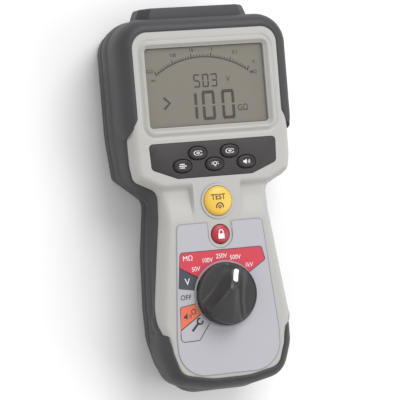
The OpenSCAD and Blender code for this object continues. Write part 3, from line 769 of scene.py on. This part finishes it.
def opening(node, shift, across, along, radius):
    """The outline of an opening round a node's box, wider than it by across and along."""
    low, high = box_mm(node)
    centre = (0.0, (low.y + high.y) / 2 + shift)
    return outline(round_rect(centre, high.x * 2 + across, high.y - low.y + along, radius))


def rear_armour():
    skin = Skin()
    holes = [opening("stand", -0.1, 1.6, 3.0, 0.6), opening("battery_cover", 0.0, 0.6, 0.6, 12.3)]
    holes += [circle_points(p, SCREW_WELL_R, 40) for p in SCREW_PLACES]
    back = skin.sheet([outline(REAR, 5.9), *holes], lambda x, y: 0.0, BACK_SPACING)
    inner = skin.sheet([outline(REAR, 6.3), *holes], lambda x, y: BACK_THICKNESS, 0)
    for low, high in zip(back[1:], inner[1:]):
        skin.band(low, high)
    made = skin.rings([raised(outline(REAR, inset), z) for z, inset in OUTSIDE])
    skin.band(back[0], made[0])
    lining = skin.rings([raised(outline(REAR, inset), z) for z, inset in LINING])
    skin.band(made[-1], lining[0])
    skin.band(lining[-1], inner[0])
    skin.made("rear_rubber", CASE, "rubber_grey", RUBBER_SKIN, ["rear_armour"], 40.0)


rear_armour()


# %% [markdown]
# ## The lip of the skirt
# Between the two bumpers the rubber skirt rises to the widest line of the case and closes on it.
# Each point of the case outline is joined to the nearest point of the skirt by a curved section.

# %% Skirt lip
def lip_height(y):
    head, end, waist = smooth(-2.0, 18.0, y), smooth(-56.0, -77.0, y), smooth(-40.0, -5.0, y)
    return 36.0 + 4.3 * head + 10.5 * end + 1.5 * waist


def nearest(point, loop):
    return min(loop, key=lambda q: (q - point).length)


SUNK = 0.15
SHELF_Z = SPLIT_Z - 1.2


def skirt_lip():
    skin = Skin()
    base = outline(FRONT)
    count = len(base)
    around = [(base[(i + 1) % count] - base[i - 1]).normalized() for i in range(count)]
    outward = [Vector((-d.y, d.x)) for d in around]
    loop = outline(REAR, 0.4)
    fine = [a.lerp(b, t / 4) for a, b in zip(loop, loop[1:] + loop[:1]) for t in range(4)]
    sections = []
    for p, out in zip(base, outward):
        top = lip_height(p.y)
        hold = wall_inset(top) - SUNK
        climb = smooth(38.5, 44.0, top) if p.y < 0 else 0.0
        swell = 0.5 + 1.7 * smooth(2.0, 16.0, p.y) + 3.6 * climb
        a = Vector((*(p - out * hold), top))
        b = Vector((*(p + out * (swell - hold)), top - 1.5 - 3.5 * climb))
        c = Vector((*nearest(p, fine), SHELF_Z))
        curve = [a * (1 - t) ** 2 + b * (2 * t * (1 - t)) + c * t * t for t in (j / 6 for j in range(7))]
        sections.append([*curve, (*(p - out * 5.2), SHELF_Z), (*(p - out * 4.2), top - 3.0)])
    made = [skin.ring(ring) for ring in zip(*sections)]
    for low, high in zip(made, made[1:] + made[:1]):
        skin.band(low, high)
    skin.made("skirt_lip", CASE, "rubber_grey", RUBBER_SKIN, (), 60.0)


skirt_lip()


# %% [markdown]
# ## The connector hood
# The three sockets sit in an eight-sided hood that tapers to its end face. Cutting round holes into
# a box would leave long thin faces, so it is drawn lying flat, as an outline across the case with
# rings along it, and its points are then turned to stand up.

# %% Connector hood
HOOD_CHAMFER = 6.0
SOCKET_HOLE = 7.02
SOCKET_DEPTH = 14.0


def connector_hood():
    low, high = box_mm("connector_block")
    width, mid_z, half_h = high.x, (low.z + high.z) / 2, (high.z - low.z) / 2
    near, far = width - HOOD_CHAMFER, half_h - HOOD_CHAMFER
    corners = both_sides([(near, half_h, 1.0), (width, far, 1.0), (width, -far, 1.0), (near, -half_h, 1.0)])

    def section(grow, inset):
        return [Vector((p.x * (1 + grow / width), p.y + mid_z)) for p in outline(corners, inset)]

    skin = Skin()
    holes = [circle_points((middle(node).x, mid_z), SOCKET_HOLE, 48)
             for node in ("socket_black", "socket_remote", "socket_red")]
    face = skin.sheet([section(-2.2, 1.0), *holes], lambda x, y: high.y, 0)
    levels = [(1.6, 0.0, low.y), (1.6, 0.0, high.y - 9.0), (-1.6, 0.0, high.y - 1.2),
              (-2.0, 0.2, high.y - 0.5), (-2.2, 0.5, high.y - 0.1)]
    made = skin.rings([raised(section(grow, inset), y) for grow, inset, y in levels])
    skin.cap(made[0])
    skin.band(made[-1], face[0])
    for hole, loop in zip(holes, face[1:]):
        bottom = skin.ring(raised(hole, high.y - SOCKET_DEPTH))
        skin.band(loop, bottom)
        skin.cap(bottom)
    skin.points = [(x, y, z) for x, z, y in skin.points]
    skin.made("connector_hood", CASE, "rubber_grey", RUBBER_SKIN, ["connector_block"], 30.0)


connector_hood()


# %% [markdown]
# ## The switch knob
# The knob is a disc with a grip bar that is narrow at the pointer and flares to the tail, and a
# finger hollow on each side. Its top is a height over a fan of rings, made in the knob's own
# directions and then turned to the position that the pointer shows.

# %% Knob
KNOB_BASE = box_mm("knob")[0].z
POINTER = middle("knob_pointer") - KNOB
KNOB_TURN = Matrix.Rotation(-math.atan2(POINTER.x, POINTER.y), 2)
HOLLOW = 3.6
RIM = 3.9
SIDE_TOP = 3.4
BAR_SLOPE = 7.0


def crown_height(y):
    return 6.0 + 5.6 * smooth(15.0, 2.0, y) - 0.5 * smooth(-8.0, -18.0, y)


def knob_height(x, y):
    r = math.hypot(x, y)
    half = 2.5 + 8.2 * smooth(9.0, -19.0, y) ** 1.25
    slope = min(1.0, max(0.0, abs(x) - half) / BAR_SLOPE)
    crown = crown_height(y) - 0.35 * smooth(half * 0.3, half, abs(x))
    body = crown + (HOLLOW - crown) * (1 - (1 - slope) ** 2)
    rim = RIM - 0.5 * smooth(17.9, 18.4, r)
    return body + (rim - body) * smooth(17.0, 17.9, r)


def on_knob(p, height):
    """A point of the knob, turned to the pointer's direction and put in place."""
    return (*(KNOB_TURN @ p + KNOB.xy), KNOB_BASE + height)


def knob():
    skin = Skin()
    radii = [0.8 * i for i in range(1, 21)]
    radii += [16.4, 16.8, 17.05, 17.3, 17.55, 17.8, 18.05, 18.25, KNOB_R]
    made = skin.rings([[on_knob(p, knob_height(p.x, p.y)) for p in circle_points((0, 0), r, 144)]
                       for r in radii])
    skin.cap(made[0])
    side = skin.rings([[on_knob(p, h) for p in circle_points((0, 0), r, 144)]
                       for r, h in ((KNOB_R, SIDE_TOP), (KNOB_R, 0.4), (KNOB_R - 0.4, 0.0))])
    skin.band(made[-1], side[0])
    skin.cap(side[-1])
    skin.made("grip_knob", "knob_body", "knob_black", KNOB_PLASTIC, ["knob"], 48.0)


knob()


def pointer_insert():
    """A white inlay with round ends that follows the slope of the knob's nose."""
    skin = Skin()
    corners = round_rect((0, 11.4), 3.0, 7.6, 1.1)
    made = skin.rings([[on_knob(p, crown_height(p.y) + rise) for p in outline(corners, inset)]
                       for inset, rise in ((0.0, -0.8), (0.0, 0.1), (0.2, 0.22), (0.8, 0.26))])
    skin.cap(made[0])
    skin.cap(made[-1])
    skin.made("pointer_insert", "knob_body", "pointer_white", WHITE, ["knob_pointer"], 40.0)


pointer_insert()


# %% [markdown]
# ## The test and lock buttons
# The two round buttons are hard domes on stems. They are turned shapes, so one profile of radii and
# heights is enough for each: a stem, a straight side, a rolled edge and a dome.

# %% Round buttons
TEST_SHOULDER = FACE_Z + 1.3
LOCK_SHOULDER = FACE_Z + 0.6
ROLL = 0.5
STEM_R = 3.0


def turned(name, centre, profile, body, slot, material, nodes):
    skin = Skin()
    made = skin.rings([raised(circle_points(centre, r, 72), z) for r, z in profile])
    skin.cap(made[0])
    skin.cap(made[-1])
    skin.made(name, body, slot, material, nodes, 40.0)


def dome_profile(radius, low, shoulder, top):
    dome = arc_points((0.0, shoulder), radius - ROLL, 0, 81, 9, top - shoulder)
    rolled = [(radius, shoulder - ROLL), (radius - 0.15, shoulder - 0.15)]
    return [(STEM_R, low), (STEM_R, low + 3.0), (radius, low + 3.0), *rolled, *dome, (0.4, top)]


for name, place, body, slot, material, node, shoulder in (
    ("yellow_cap", TEST, "test_body", "test_yellow", YELLOW, "test_button", TEST_SHOULDER),
    ("red_cap", LOCK, "lock_body", "lock_red", RED, "lock_button", LOCK_SHOULDER),
):
    low, high = box_mm(node)
    profile = dome_profile((high.x - low.x) / 2, low.z, shoulder, high.z)
    turned(name, place, profile, body, slot, material, [node])


# %% [markdown]
# ### Keys and their panel
# The five keys are rubber ovals that stand in openings of a matt panel. A scaled cylinder would give
# a true ellipse, which looks too thin at its ends, so the oval's own rule is written out and used
# for the keys and for the openings round them.

# %% Keys and panel
def oval(centre, across, tall, count=56):
    """An oval a little fuller than an ellipse."""
    points = []
    for i in range(count):
        t = 2 * math.pi * i / count
        c, n = math.cos(t), math.sin(t)
        points.append(Vector((centre[0] + across * math.copysign(abs(c) ** 0.9, c),
                              centre[1] + tall * math.copysign(abs(n) ** 0.9, n))))
    return points


def key_cap(node):
    low, high = box_mm(node)
    centre = (low + high) / 2
    width, height = high.x - low.x, high.y - low.y
    skin = Skin()
    levels = [(0.0, low.z + 5.0), (0.0, high.z - 1.1), (0.12, high.z - 0.7), (0.42, high.z - 0.3),
              (0.9, high.z - 0.05), (1.3, high.z), (1.8, high.z - 0.08), (2.8, high.z - 0.22)]
    made = skin.rings([raised(oval(centre, width / 2 - 0.25 - k, height / 2 - 0.05 - k), z)
                       for k, z in levels])
    stem = skin.rings([raised(circle_points(centre, 2.0, len(made[0])), z)
                       for z in (low.z, low.z + 5.0)])
    for ring in (stem[0], stem[-1], made[0], made[-1]):
        skin.cap(ring)
    skin.made(f"{node}_cap", f"{node}_body", "key_black", KEY_RUBBER, [node], 40.0)


for name in KEY_NAMES:
    key_cap(name)


def keypad():
    """The panel round the keys, with a soft edge and an oval opening for each key."""
    low, high = box_mm("keypad_panel")
    sides = [box_mm(name) for name in KEY_NAMES]
    holes = [oval((a + b) / 2, (b.x - a.x) / 2 + 0.1, (b.y - a.y) / 2 + 0.25) for a, b in sides]
    corners = both_sides([(40, 33.7, 2.5), (39.3, 18.9, 3), (23.5, 12.8, 4)])
    skin = Skin()
    top = skin.sheet([outline(corners, 0.35), *holes], lambda x, y: high.z, 0)
    back = skin.sheet([outline(corners), *holes], lambda x, y: low.z, 0)
    side = skin.rings([raised(outline(corners, k), high.z - z) for k, z in ((0, 0.35), (0.1, 0.1))])
    for a, b in zip(top[1:], back[1:]):
        skin.band(a, b)
    skin.band(back[0], side[0])
    skin.band(side[1], top[0])
    skin.made("keypad_plate", CASE, "keypad", PANEL, ["keypad_panel"], 30.0)


keypad()


# %% [markdown]
# ## Printing
# Printing could be a pattern in the film's material, but sharp edges would then need a picture or a
# very fine bake. Printed marks are thin plates of ink instead, a few hundredths of a millimetre
# thick. A stroke is a line given a width, and lettering is text turned into a mesh.

# %% Ink helpers
INK = 0.05
CAPITAL_SHARE = 0.72


class Ink(Skin):
    """Flat marks at one height, or on a height rule, gathered into one piece."""

    def __init__(self, level):
        super().__init__()
        self.level = level if callable(level) else (lambda x, y: level)

    def row(self, points, rise=0.0):
        return self.ring([(p[0], p[1], self.level(p[0], p[1]) + rise) for p in points])

    def shape(self, points):
        low = self.row(points)
        high = self.row(points, INK)
        self.band(low, high)
        self.cap(low)
        self.cap(high)

    def stroke(self, a, b, width):
        a, b = Vector(a), Vector(b)
        side = Vector((-(b - a).y, (b - a).x)).normalized() * width / 2
        self.shape([a + side, b + side, b - side, a - side])

    def path(self, points, width, closed=False):
        points = [Vector(p[:2]) for p in points]
        n = len(points)
        left, right = [], []
        for i, p in enumerate(points):
            ahead = points[(i + 1) % n] if closed or i < n - 1 else p
            behind = points[i - 1] if closed or i > 0 else p
            along = (ahead - behind).normalized()
            side = Vector((-along.y, along.x)) * width / 2
            left.append(p + side)
            right.append(p - side)
        rows = [self.row(left), self.row(left, INK), self.row(right, INK), self.row(right)]
        for a, b in zip(rows, rows[1:] + rows[:1]):
            self.band(a, b, closed)
        if not closed:
            self.cap([r[0] for r in rows])
            self.cap([r[-1] for r in rows])

    def text(self, words, centre, height, bold=0.0, squeeze=1.0):
        curve = bpy.data.curves.new("words", "FONT")
        curve.body = words
        curve.size = height / CAPITAL_SHARE
        curve.align_x = "CENTER"
        curve.align_y = "CENTER"
        curve.offset = bold
        curve.resolution_u = 3
        curve.extrude = INK / 2
        holder = bpy.data.objects.new("words", curve)
        bpy.context.scene.collection.objects.link(holder)
        bpy.context.view_layer.update()
        graph = bpy.context.evaluated_depsgraph_get()
        mesh = bpy.data.meshes.new_from_object(holder.evaluated_get(graph))
        start = len(self.points)
        for v in mesh.vertices:
            spot = Vector((v.co.x * squeeze, v.co.y)) + Vector(centre)
            self.points.append((spot.x, spot.y, self.level(spot.x, spot.y) + INK / 2 + v.co.z))
        self.faces += [tuple(start + i for i in p.vertices) for p in mesh.polygons]
        bpy.data.objects.remove(holder)
        bpy.data.meshes.remove(mesh)


def rounded_shape(corners):
    """The points of a closed clockwise shape given as (x, y, radius) corners."""
    return [p for arc in corner_arcs(corners, 0.0) for p in arc]


print("ink helpers ready")


# %% [markdown]
# ## The dial
# Coloured fields group the switch positions: insulation ranges in red, voltage in slate, resistance
# in orange and settings in an open box. Only numbers, units and plain symbols are printed.

# %% Dial fields
LABEL_SIDE = [(27.2, -13.8, 3), (32.6, -80, 30), (32.2, END_Y + 10.5, 17)]
FIELDS = {
    "red": [(-26.4, -30.6, 1.8), (25.2, -30.6, 1.8), (27.0, -38.6, 1.6), (14.0, -46.6, 0),
            (0, -52, 0), (-16.7, -45.6, 0), (-27.6, -39.3, 0)],
    "slate": [(-27.6, -39.3, 0), (-16.7, -45.6, 0), (-12, -54, 0), (-19.9, -52.7, 0),
              (-28.9, -51.2, 0.8)],
    "orange": [(-29.0, -62.2, 1.2), (-19.6, -60.8, 0), (-12, -62, 0), (-15.6, -66.6, 0),
               (-29.8, -75.7, 0)],
    "open": [(-29.8, -75.7, 0), (-15.6, -66.6, 0), (-9, -68, 0), (-11.4, -72.8, 0),
             (-18.4, -82.4, 1.5), (-30.2, -82.6, 2.6)],
}
ON_LABEL = LABEL_Z + 0.01
LINES_Z = LABEL_Z + 0.07
MARKS_Z = LABEL_Z + 0.08


def printed(name, ink, slot, material, body=CASE):
    ink.made(name, body, slot, material, (), 20.0)


for tone, material in (("red", INK_RED), ("slate", INK_SLATE), ("orange", INK_ORANGE)):
    ink = Ink(ON_LABEL)
    ink.shape(rounded_shape(FIELDS[tone]))
    printed(f"dial_field_{tone}", ink, "label", material)

border = Ink(LINES_Z)
for corners in FIELDS.values():
    border.path(rounded_shape(corners), 0.42, closed=True)
printed("dial_field_lines", border, "label", INK_SLATE)

LABEL_TOP = LABEL_SIDE[0][1]
label_edge = [*both_sides(LABEL_SIDE), (-7.3, LABEL_TOP, 1.4), (-7.6, LOCK.y - 7.8, 7.5),
              (7.6, LOCK.y - 7.8, 7.5), (7.3, LABEL_TOP, 1.4)]
edge_line = Ink(ON_LABEL)
edge_line.path(outline(label_edge, 0.3), 0.34, closed=True)
printed("label_edge_line", edge_line, "label", LABEL_EDGE)


# %% [markdown]
# ### Numbers and signs on the dial
# The test voltages are white on the red field and the other positions are dark on the film. The
# font that Blender carries is close enough for numbers and units, and each plain symbol, such as
# the spanner for the settings, is a few strokes.

# %% Dial numbers and signs
white = Ink(MARKS_Z)
for words, x, y in (("50V", -17.4, -40.8), ("100V", -9.8, -36.2), ("250V", -0.7, -34.4),
                    ("500V", 8.0, -35.8), ("1kV", 16.3, -41.0)):
    white.text(words, (x, y), 2.8, 0.0, 0.86)
white.text("MΩ", (-21.9, -34.2), 3.0)
white.text("V", (-23.3, -47.8), 3.9)
printed("dial_white_marks", white, "label", INK_WHITE)

dark = Ink(MARKS_Z)
dark.text("OFF", (-25.0, -56.8), 3.0, 0.01, 0.95)
dark.text("Ω", (-21.0, -65.6), 3.2, 0.01)
dark.shape([(-27.4, -67.9), (-26.2, -67.1), (-25.0, -65.6), (-25.0, -69.6), (-26.2, -68.8),
            (-27.4, -68.6)])
for radius in (1.0, 1.9):
    dark.path(arc_points((-24.6, -67.8), radius, -40, 40, 10), 0.35)
dark.path([(-18.6, -72.4), (-22.6, -76.6)], 1.3)
dark.path(arc_points((-17.4, -71.2), 1.7, 80, 370, 10), 0.95)
printed("dial_dark_marks", dark, "label", INK_DARK)


# %% [markdown]
# ## Signs on the buttons
# The test button carries a word and a gauge sign, and the lock button a padlock. The test button's
# top is a dome, so its ink takes its height from the dome's own rule. Both signs ride with their
# buttons.

# %% Button signs
TEST_LOW, TEST_HIGH = box_mm("test_button")
DOME_R = (TEST_HIGH.x - TEST_LOW.x) / 2 - ROLL
HAIR = 0.05


def dome_height(x, y):
    """The height of the test button's dome, with a hair of room for the ink."""
    share = min(1.0, math.hypot(x - TEST.x, y - TEST.y) / DOME_R)
    return TEST_SHOULDER + (TEST_HIGH.z - TEST_SHOULDER) * math.sqrt(1 - share * share) + HAIR


test_sign = Ink(dome_height)
test_sign.text("TEST", (TEST.x - 0.6, TEST.y + 2.2), 3.3, 0.07, 0.9)
test_sign.path(arc_points((TEST.x, TEST.y - 3.4), 2.1, -20, 200, 10), 0.7)
test_sign.path(circle_points((TEST.x, TEST.y - 3.5), 0.75, 20), 0.5, closed=True)
printed("test_button_sign", test_sign, "test_yellow", INK_DARK, "test_body")

lock_sign = Ink(box_mm("lock_button")[1].z - 0.03)
lock_sign.shape([(x, LOCK.y + y) for x, y in ((-1.9, 0.3), (1.9, 0.3), (1.9, -2.7), (-1.9, -2.7))])
shackle = arc_points((0.0, LOCK.y + 1.3), 1.25, 0, 180, 15)
lock_sign.path([(1.25, LOCK.y + 0.3), *shackle, (-1.25, LOCK.y + 0.3)], 0.6)
printed("lock_button_sign", lock_sign, "pointer_white", INK_WHITE, "lock_body")


# %% [markdown]
# ### Signs on the keys
# Each key has one small pictogram: a page, a lamp, a speaker and two cycles. They are drawn about
# the middle of the key, so that one rule places all five.

# %% Key signs
KEY_DISH = 0.24


def key_sign(node, kind):
    centre = middle(node)
    ink = Ink(box_mm(node)[1].z - KEY_DISH)

    def at(x, y):
        return centre.x + x, centre.y + y

    if kind == "lamp":
        ink.path(circle_points(at(0, 0.3), 1.0, 20), 0.4, closed=True)
        ink.stroke(at(-0.5, -1.3), at(0.5, -1.3), 0.4)
        for near, far in zip(arc_points(at(0, 0), 1.7, 30, 150, 60), arc_points(at(0, 0), 2.5, 30, 150, 60)):
            ink.stroke(near, far, 0.35)
        for side in (-1, 1):
            ink.stroke(at(side * 1.6, 0), at(side * 2.4, -0.1), 0.35)
    elif kind == "sound":
        ink.shape([at(-2.2, -0.6), at(-2.2, 0.6), at(-1.3, 0.6), at(-0.1, 1.6), at(-0.1, -1.6),
                   at(-1.3, -0.6)])
        for radius in (0.9, 1.8):
            ink.path(arc_points(at(0.1, 0), radius, -45, 45, 15), 0.36)
    elif kind == "page":
        for row in (-1.1, 0.0, 1.1):
            ink.stroke(at(-2.4, row), at(2.2 - abs(row), row), 0.5)
    else:
        ink.path(arc_points(at(0, 0), 2.6, 20, 340, 16, 1.4), 0.42)
        ink.stroke(at(-1.1, 0), at(1.1, 0), 0.6)
        ink.stroke(at(0, -0.8), at(0, 0.8), 0.5)
    printed(f"{node}_sign", ink, "key_black", INK_WHITE, f"{node}_body")


for node, kind in zip(KEY_NAMES, ("page", "lamp", "sound", "cycle", "cycle")):
    key_sign(node, kind)


# %% [markdown]
# ## The display
# The reading is drawn with the seven-segment shapes that such a cell has, because a font's rounded
# figures would look wrong in it. The scale above it is an arc with numbers.

# %% Display reading
SEGMENTS = {"0": "abcdef", "1": "bc", "3": "abcdg", "5": "acdfg"}
DISPLAY_Z = box_mm("display_panel")[1].z + 0.01


def digit(ink, figure, x, y, width, height, stroke):
    """One seven-segment figure with its lower left corner at x, y."""
    gap, s, half = stroke * 0.3, stroke / 2, height / 2
    left, right, end = x + s, x + width - s, s * 1.4
    runs = {
        "a": ((x + gap, y + height - s), (x + width - gap, y + height - s)),
        "d": ((x + gap, y + s), (x + width - gap, y + s)),
        "g": ((left + gap, y + half), (right - gap, y + half)),
        "f": ((left, y + half + gap), (left, y + height - end)),
        "e": ((left, y + end), (left, y + half - gap)),
        "b": ((right, y + half + gap), (right, y + height - end)),
        "c": ((right, y + end), (right, y + half - gap)),
    }
    for name in SEGMENTS[figure]:
        ink.stroke(*runs[name], stroke)


reading = Ink(DISPLAY_Z)
for figure, x in (("1", -14.4), ("0", -3.2), ("0", 9.2)):
    digit(reading, figure, x, 45.9, 8.2, 17.4, 1.8)
for figure, x in (("5", -7.6), ("0", -2.0), ("3", 3.4)):
    digit(reading, figure, x, 65.3, 4.1, 7.9, 0.9)
reading.path([(-27.2, 60.6), (-23.5, 57.2), (-27.2, 53.8)], 1.5)
reading.text("GΩ", (22.4, 51.8), 3.8, 0.06, 0.86)
reading.text("V", (14.3, 69.2), 2.9, 0.05)
printed("display_reading", reading, "display", SEGMENT)

SCALE_CENTRE = (-1.6, 33.2)
SCALE_R = 50.0
faint = Ink(DISPLAY_Z)
faint.path(arc_points(SCALE_CENTRE, SCALE_R, 126, 54, -2), 0.62)
for words, x, y in (("100", -19.3, 85.0), ("10", -7.6, 87.3), ("1", 5.6, 87.3), ("0.1", 20.2, 84.9),
                    ("0", 31.6, 78.6), ("GΩ", -34.6, 76.3), ("∞", -32.8, 70.9), ("MΩ", 31.0, 72.5)):
    faint.text(words, (x, y), 2.1, 0.04)
printed("display_scale", faint, "display", SEGMENT_FAINT)


# %% [markdown]
# ### The scale's ticks
# A row of ticks is one small bar repeated along an arc. A loop in Python would do, but a node tree
# keeps the count, the length and the radius as inputs: an arc is cut into even points, a bar is set
# on each and turned along it, and the bars are made real so that they can be exported.

# %% Ticks by Geometry Nodes
def new_tree(name, sizes):
    """A node tree with named number inputs. Returns the tree, its input node and its output node."""
    tree = bpy.data.node_groups.new(name, "GeometryNodeTree")
    tree.interface.new_socket("Geometry", in_out="OUTPUT", socket_type="NodeSocketGeometry")
    for key, value in sizes.items():
        kind = "NodeSocketInt" if isinstance(value, int) else "NodeSocketFloat"
        tree.interface.new_socket(key, in_out="INPUT", socket_type=kind)
    return tree, tree.nodes.new("NodeGroupInput"), tree.nodes.new("NodeGroupOutput")


def run_tree(name, tree, sizes, body, material):
    """Evaluates the tree on an empty mesh and keeps the result as a plain piece."""
    holder = bpy.data.objects.new(name + "_holder", bpy.data.meshes.new(name + "_holder"))
    bpy.context.scene.collection.objects.link(holder)
    modifier = holder.modifiers.new("build", "NODES")
    modifier.node_group = tree
    for item in tree.interface.items_tree:
        if item.in_out == "INPUT":
            modifier[item.identifier] = sizes[item.name]
    graph = bpy.context.evaluated_depsgraph_get()
    mesh = bpy.data.meshes.new_from_object(holder.evaluated_get(graph))
    holder.modifiers.remove(modifier)
    bpy.data.objects.remove(holder)
    finished(name, mesh, body, material)


ARC_NODES = {
    "arc": "GeometryNodeCurveArc", "spread": "GeometryNodeResampleCurve",
    "tangent": "GeometryNodeInputTangent", "turn": "FunctionNodeAlignRotationToVector",
    "size": "ShaderNodeCombineXYZ", "tick": "GeometryNodeMeshCube",
    "place": "GeometryNodeInstanceOnPoints", "real": "GeometryNodeRealizeInstances",
    "shift": "ShaderNodeCombineXYZ", "move": "GeometryNodeTransform",
    "paint": "GeometryNodeSetMaterial",
}
ARC_LINKS = """
given.Radius > arc.Radius; given.Start > arc.Start Angle; given.Sweep > arc.Sweep Angle
arc.Curve > spread.Curve; given.Ticks > spread.Count; tangent.Tangent > turn.Vector
given.Length > size.X; given.Width > size.Y; given.Thickness > size.Z; size.Vector > tick.Size
spread.Curve > place.Points; tick.Mesh > place.Instance; turn.Rotation > place.Rotation
place.Instances > real.Geometry; real.Geometry > move.Geometry; shift.Vector > move.Translation
given.Centre X > shift.X; given.Centre Y > shift.Y; given.Centre Z > shift.Z
move.Geometry > paint.Geometry; paint.Geometry > out.Geometry
"""


def arc_ticks(name, sizes, material):
    """A tree that sets small bars across an arc, made from the two tables above."""
    tree, given, out = new_tree(name + "_tree", sizes)
    nodes = {key: tree.nodes.new(kind) for key, kind in ARC_NODES.items()}
    nodes.update(given=given, out=out)
    for line in ARC_LINKS.replace(";", "\n").strip().splitlines():
        (start, output), (end, socket) = (side.strip().split(".") for side in line.split(" > "))
        tree.links.new(nodes[start].outputs[output], nodes[end].inputs[socket])
    nodes["turn"].axis = "Y"
    nodes["paint"].inputs["Material"].default_value = material
    return tree


SCALE_SPREAD = 35.0


def tick_row(name, ticks, length, width):
    sizes = {
        "Radius": (SCALE_R + length / 2) * MM, "Start": math.radians(90 - SCALE_SPREAD),
        "Sweep": math.radians(2 * SCALE_SPREAD), "Ticks": ticks,
        "Length": length * MM, "Width": width * MM, "Thickness": INK * MM,
        "Centre X": SCALE_CENTRE[0] * MM, "Centre Y": SCALE_CENTRE[1] * MM,
        "Centre Z": (DISPLAY_Z + INK / 2) * MM,
    }
    run_tree(name, arc_ticks(name, sizes, SEGMENT_FAINT), sizes, CASE, SEGMENT_FAINT)


tick_row("scale_ticks_long", 6, 2.4, 0.7)
tick_row("scale_ticks_short", 36, 1.5, 0.6)


# %% [markdown]
# ## The stage
# A plain pale floor lies a hair under the rubber back, so that the two never share a plane. It is a
# stage, which means that it is not part of the tester.

# %% Floor
FLOOR_HALF = 3.0
FLOOR_Z = -0.0005
floor_corners = [(x * FLOOR_HALF, y * FLOOR_HALF, FLOOR_Z) for x, y in ((-1, -1), (1, -1), (1, 1), (-1, 1))]
floor_mesh = bpy.data.meshes.new("floor")
floor_mesh.from_pydata(floor_corners, [], [(0, 1, 2, 3)])
floor = bpy.data.objects.new("floor", floor_mesh)
bpy.context.scene.collection.objects.link(floor)
paper = Graph("paper_floor")
paper.set(Base_Color=(0.93, 0.93, 0.93, 1.0), Roughness=0.9)
floor_mesh.materials.append(paper.material)
print("floor at", FLOOR_Z, "m")


# %% [markdown]
# ### Light
# One large soft lamp above the head gives the long soft shadow, a weaker one opens the right side,
# and a faint one draws an edge on the left. The pale world fills what is left.

# %% Light
AIM = (0.0, 0.0, 0.03)
WORLD_STRENGTH = 0.62


def softbox(name, place, size, power):
    lamp = bpy.data.lights.new(name, "AREA")
    lamp.shape = "RECTANGLE"
    lamp.size, lamp.size_y = size
    lamp.energy = power
    holder = bpy.data.objects.new(name, lamp)
    holder.location = place
    holder.rotation_euler = (Vector(AIM) - Vector(place)).to_track_quat("-Z", "Y").to_euler()
    bpy.context.scene.collection.objects.link(holder)


softbox("key_light", (0.25, 0.75, 0.95), (0.8, 0.8), 9.0)
softbox("fill_light", (0.9, -0.3, 0.8), (0.9, 0.9), 4.5)
softbox("left_light", (-1.0, -0.2, 0.5), (0.5, 1.0), 1.6)
world = bpy.data.worlds.new("studio")
world.use_nodes = True
background = world.node_tree.nodes["Background"].inputs
background["Color"].default_value = (1.0, 1.0, 1.0, 1.0)
background["Strength"].default_value = WORLD_STRENGTH
bpy.context.scene.world = world
bpy.context.scene.view_settings.view_transform = "Standard"
print("three softboxes and a pale world")


# %% [markdown]
# ### Camera
# A long lens far away keeps the case's sides nearly parallel. The camera starts straight above the
# face, and is turned about the case's length, tipped a hair and rolled, then moved back along its
# own view. A small shift frames the case without turning the camera again.

# %% Camera
YAW, PITCH, ROLL_ANGLE = math.radians(22.0), math.radians(0.12), math.radians(4.74)
SENSOR = 36.0
LENS = 224.46
DISTANCE = 1464.29
turn = Matrix.Rotation(ROLL_ANGLE, 3, "Z") @ Matrix.Rotation(PITCH, 3, "X") @ Matrix.Rotation(YAW, 3, "Y")
back = turn.transposed()
camera_data = bpy.data.cameras.new("camera")
camera_data.sensor_width = SENSOR
camera_data.lens = LENS
camera_data.shift_x = -0.04375
camera_data.clip_end = 20.0
camera = bpy.data.objects.new("camera", camera_data)
face_middle = Vector((0.0, -1.46, FACE_Z))
spot = (face_middle + back @ Vector((0, 0, DISTANCE))) * MM
camera.matrix_world = Matrix.Translation(spot) @ back.to_4x4()
bpy.context.scene.collection.objects.link(camera)
bpy.context.scene.camera = camera
print(f"camera {spot.length:.2f} m away, lens {LENS:.0f} mm")
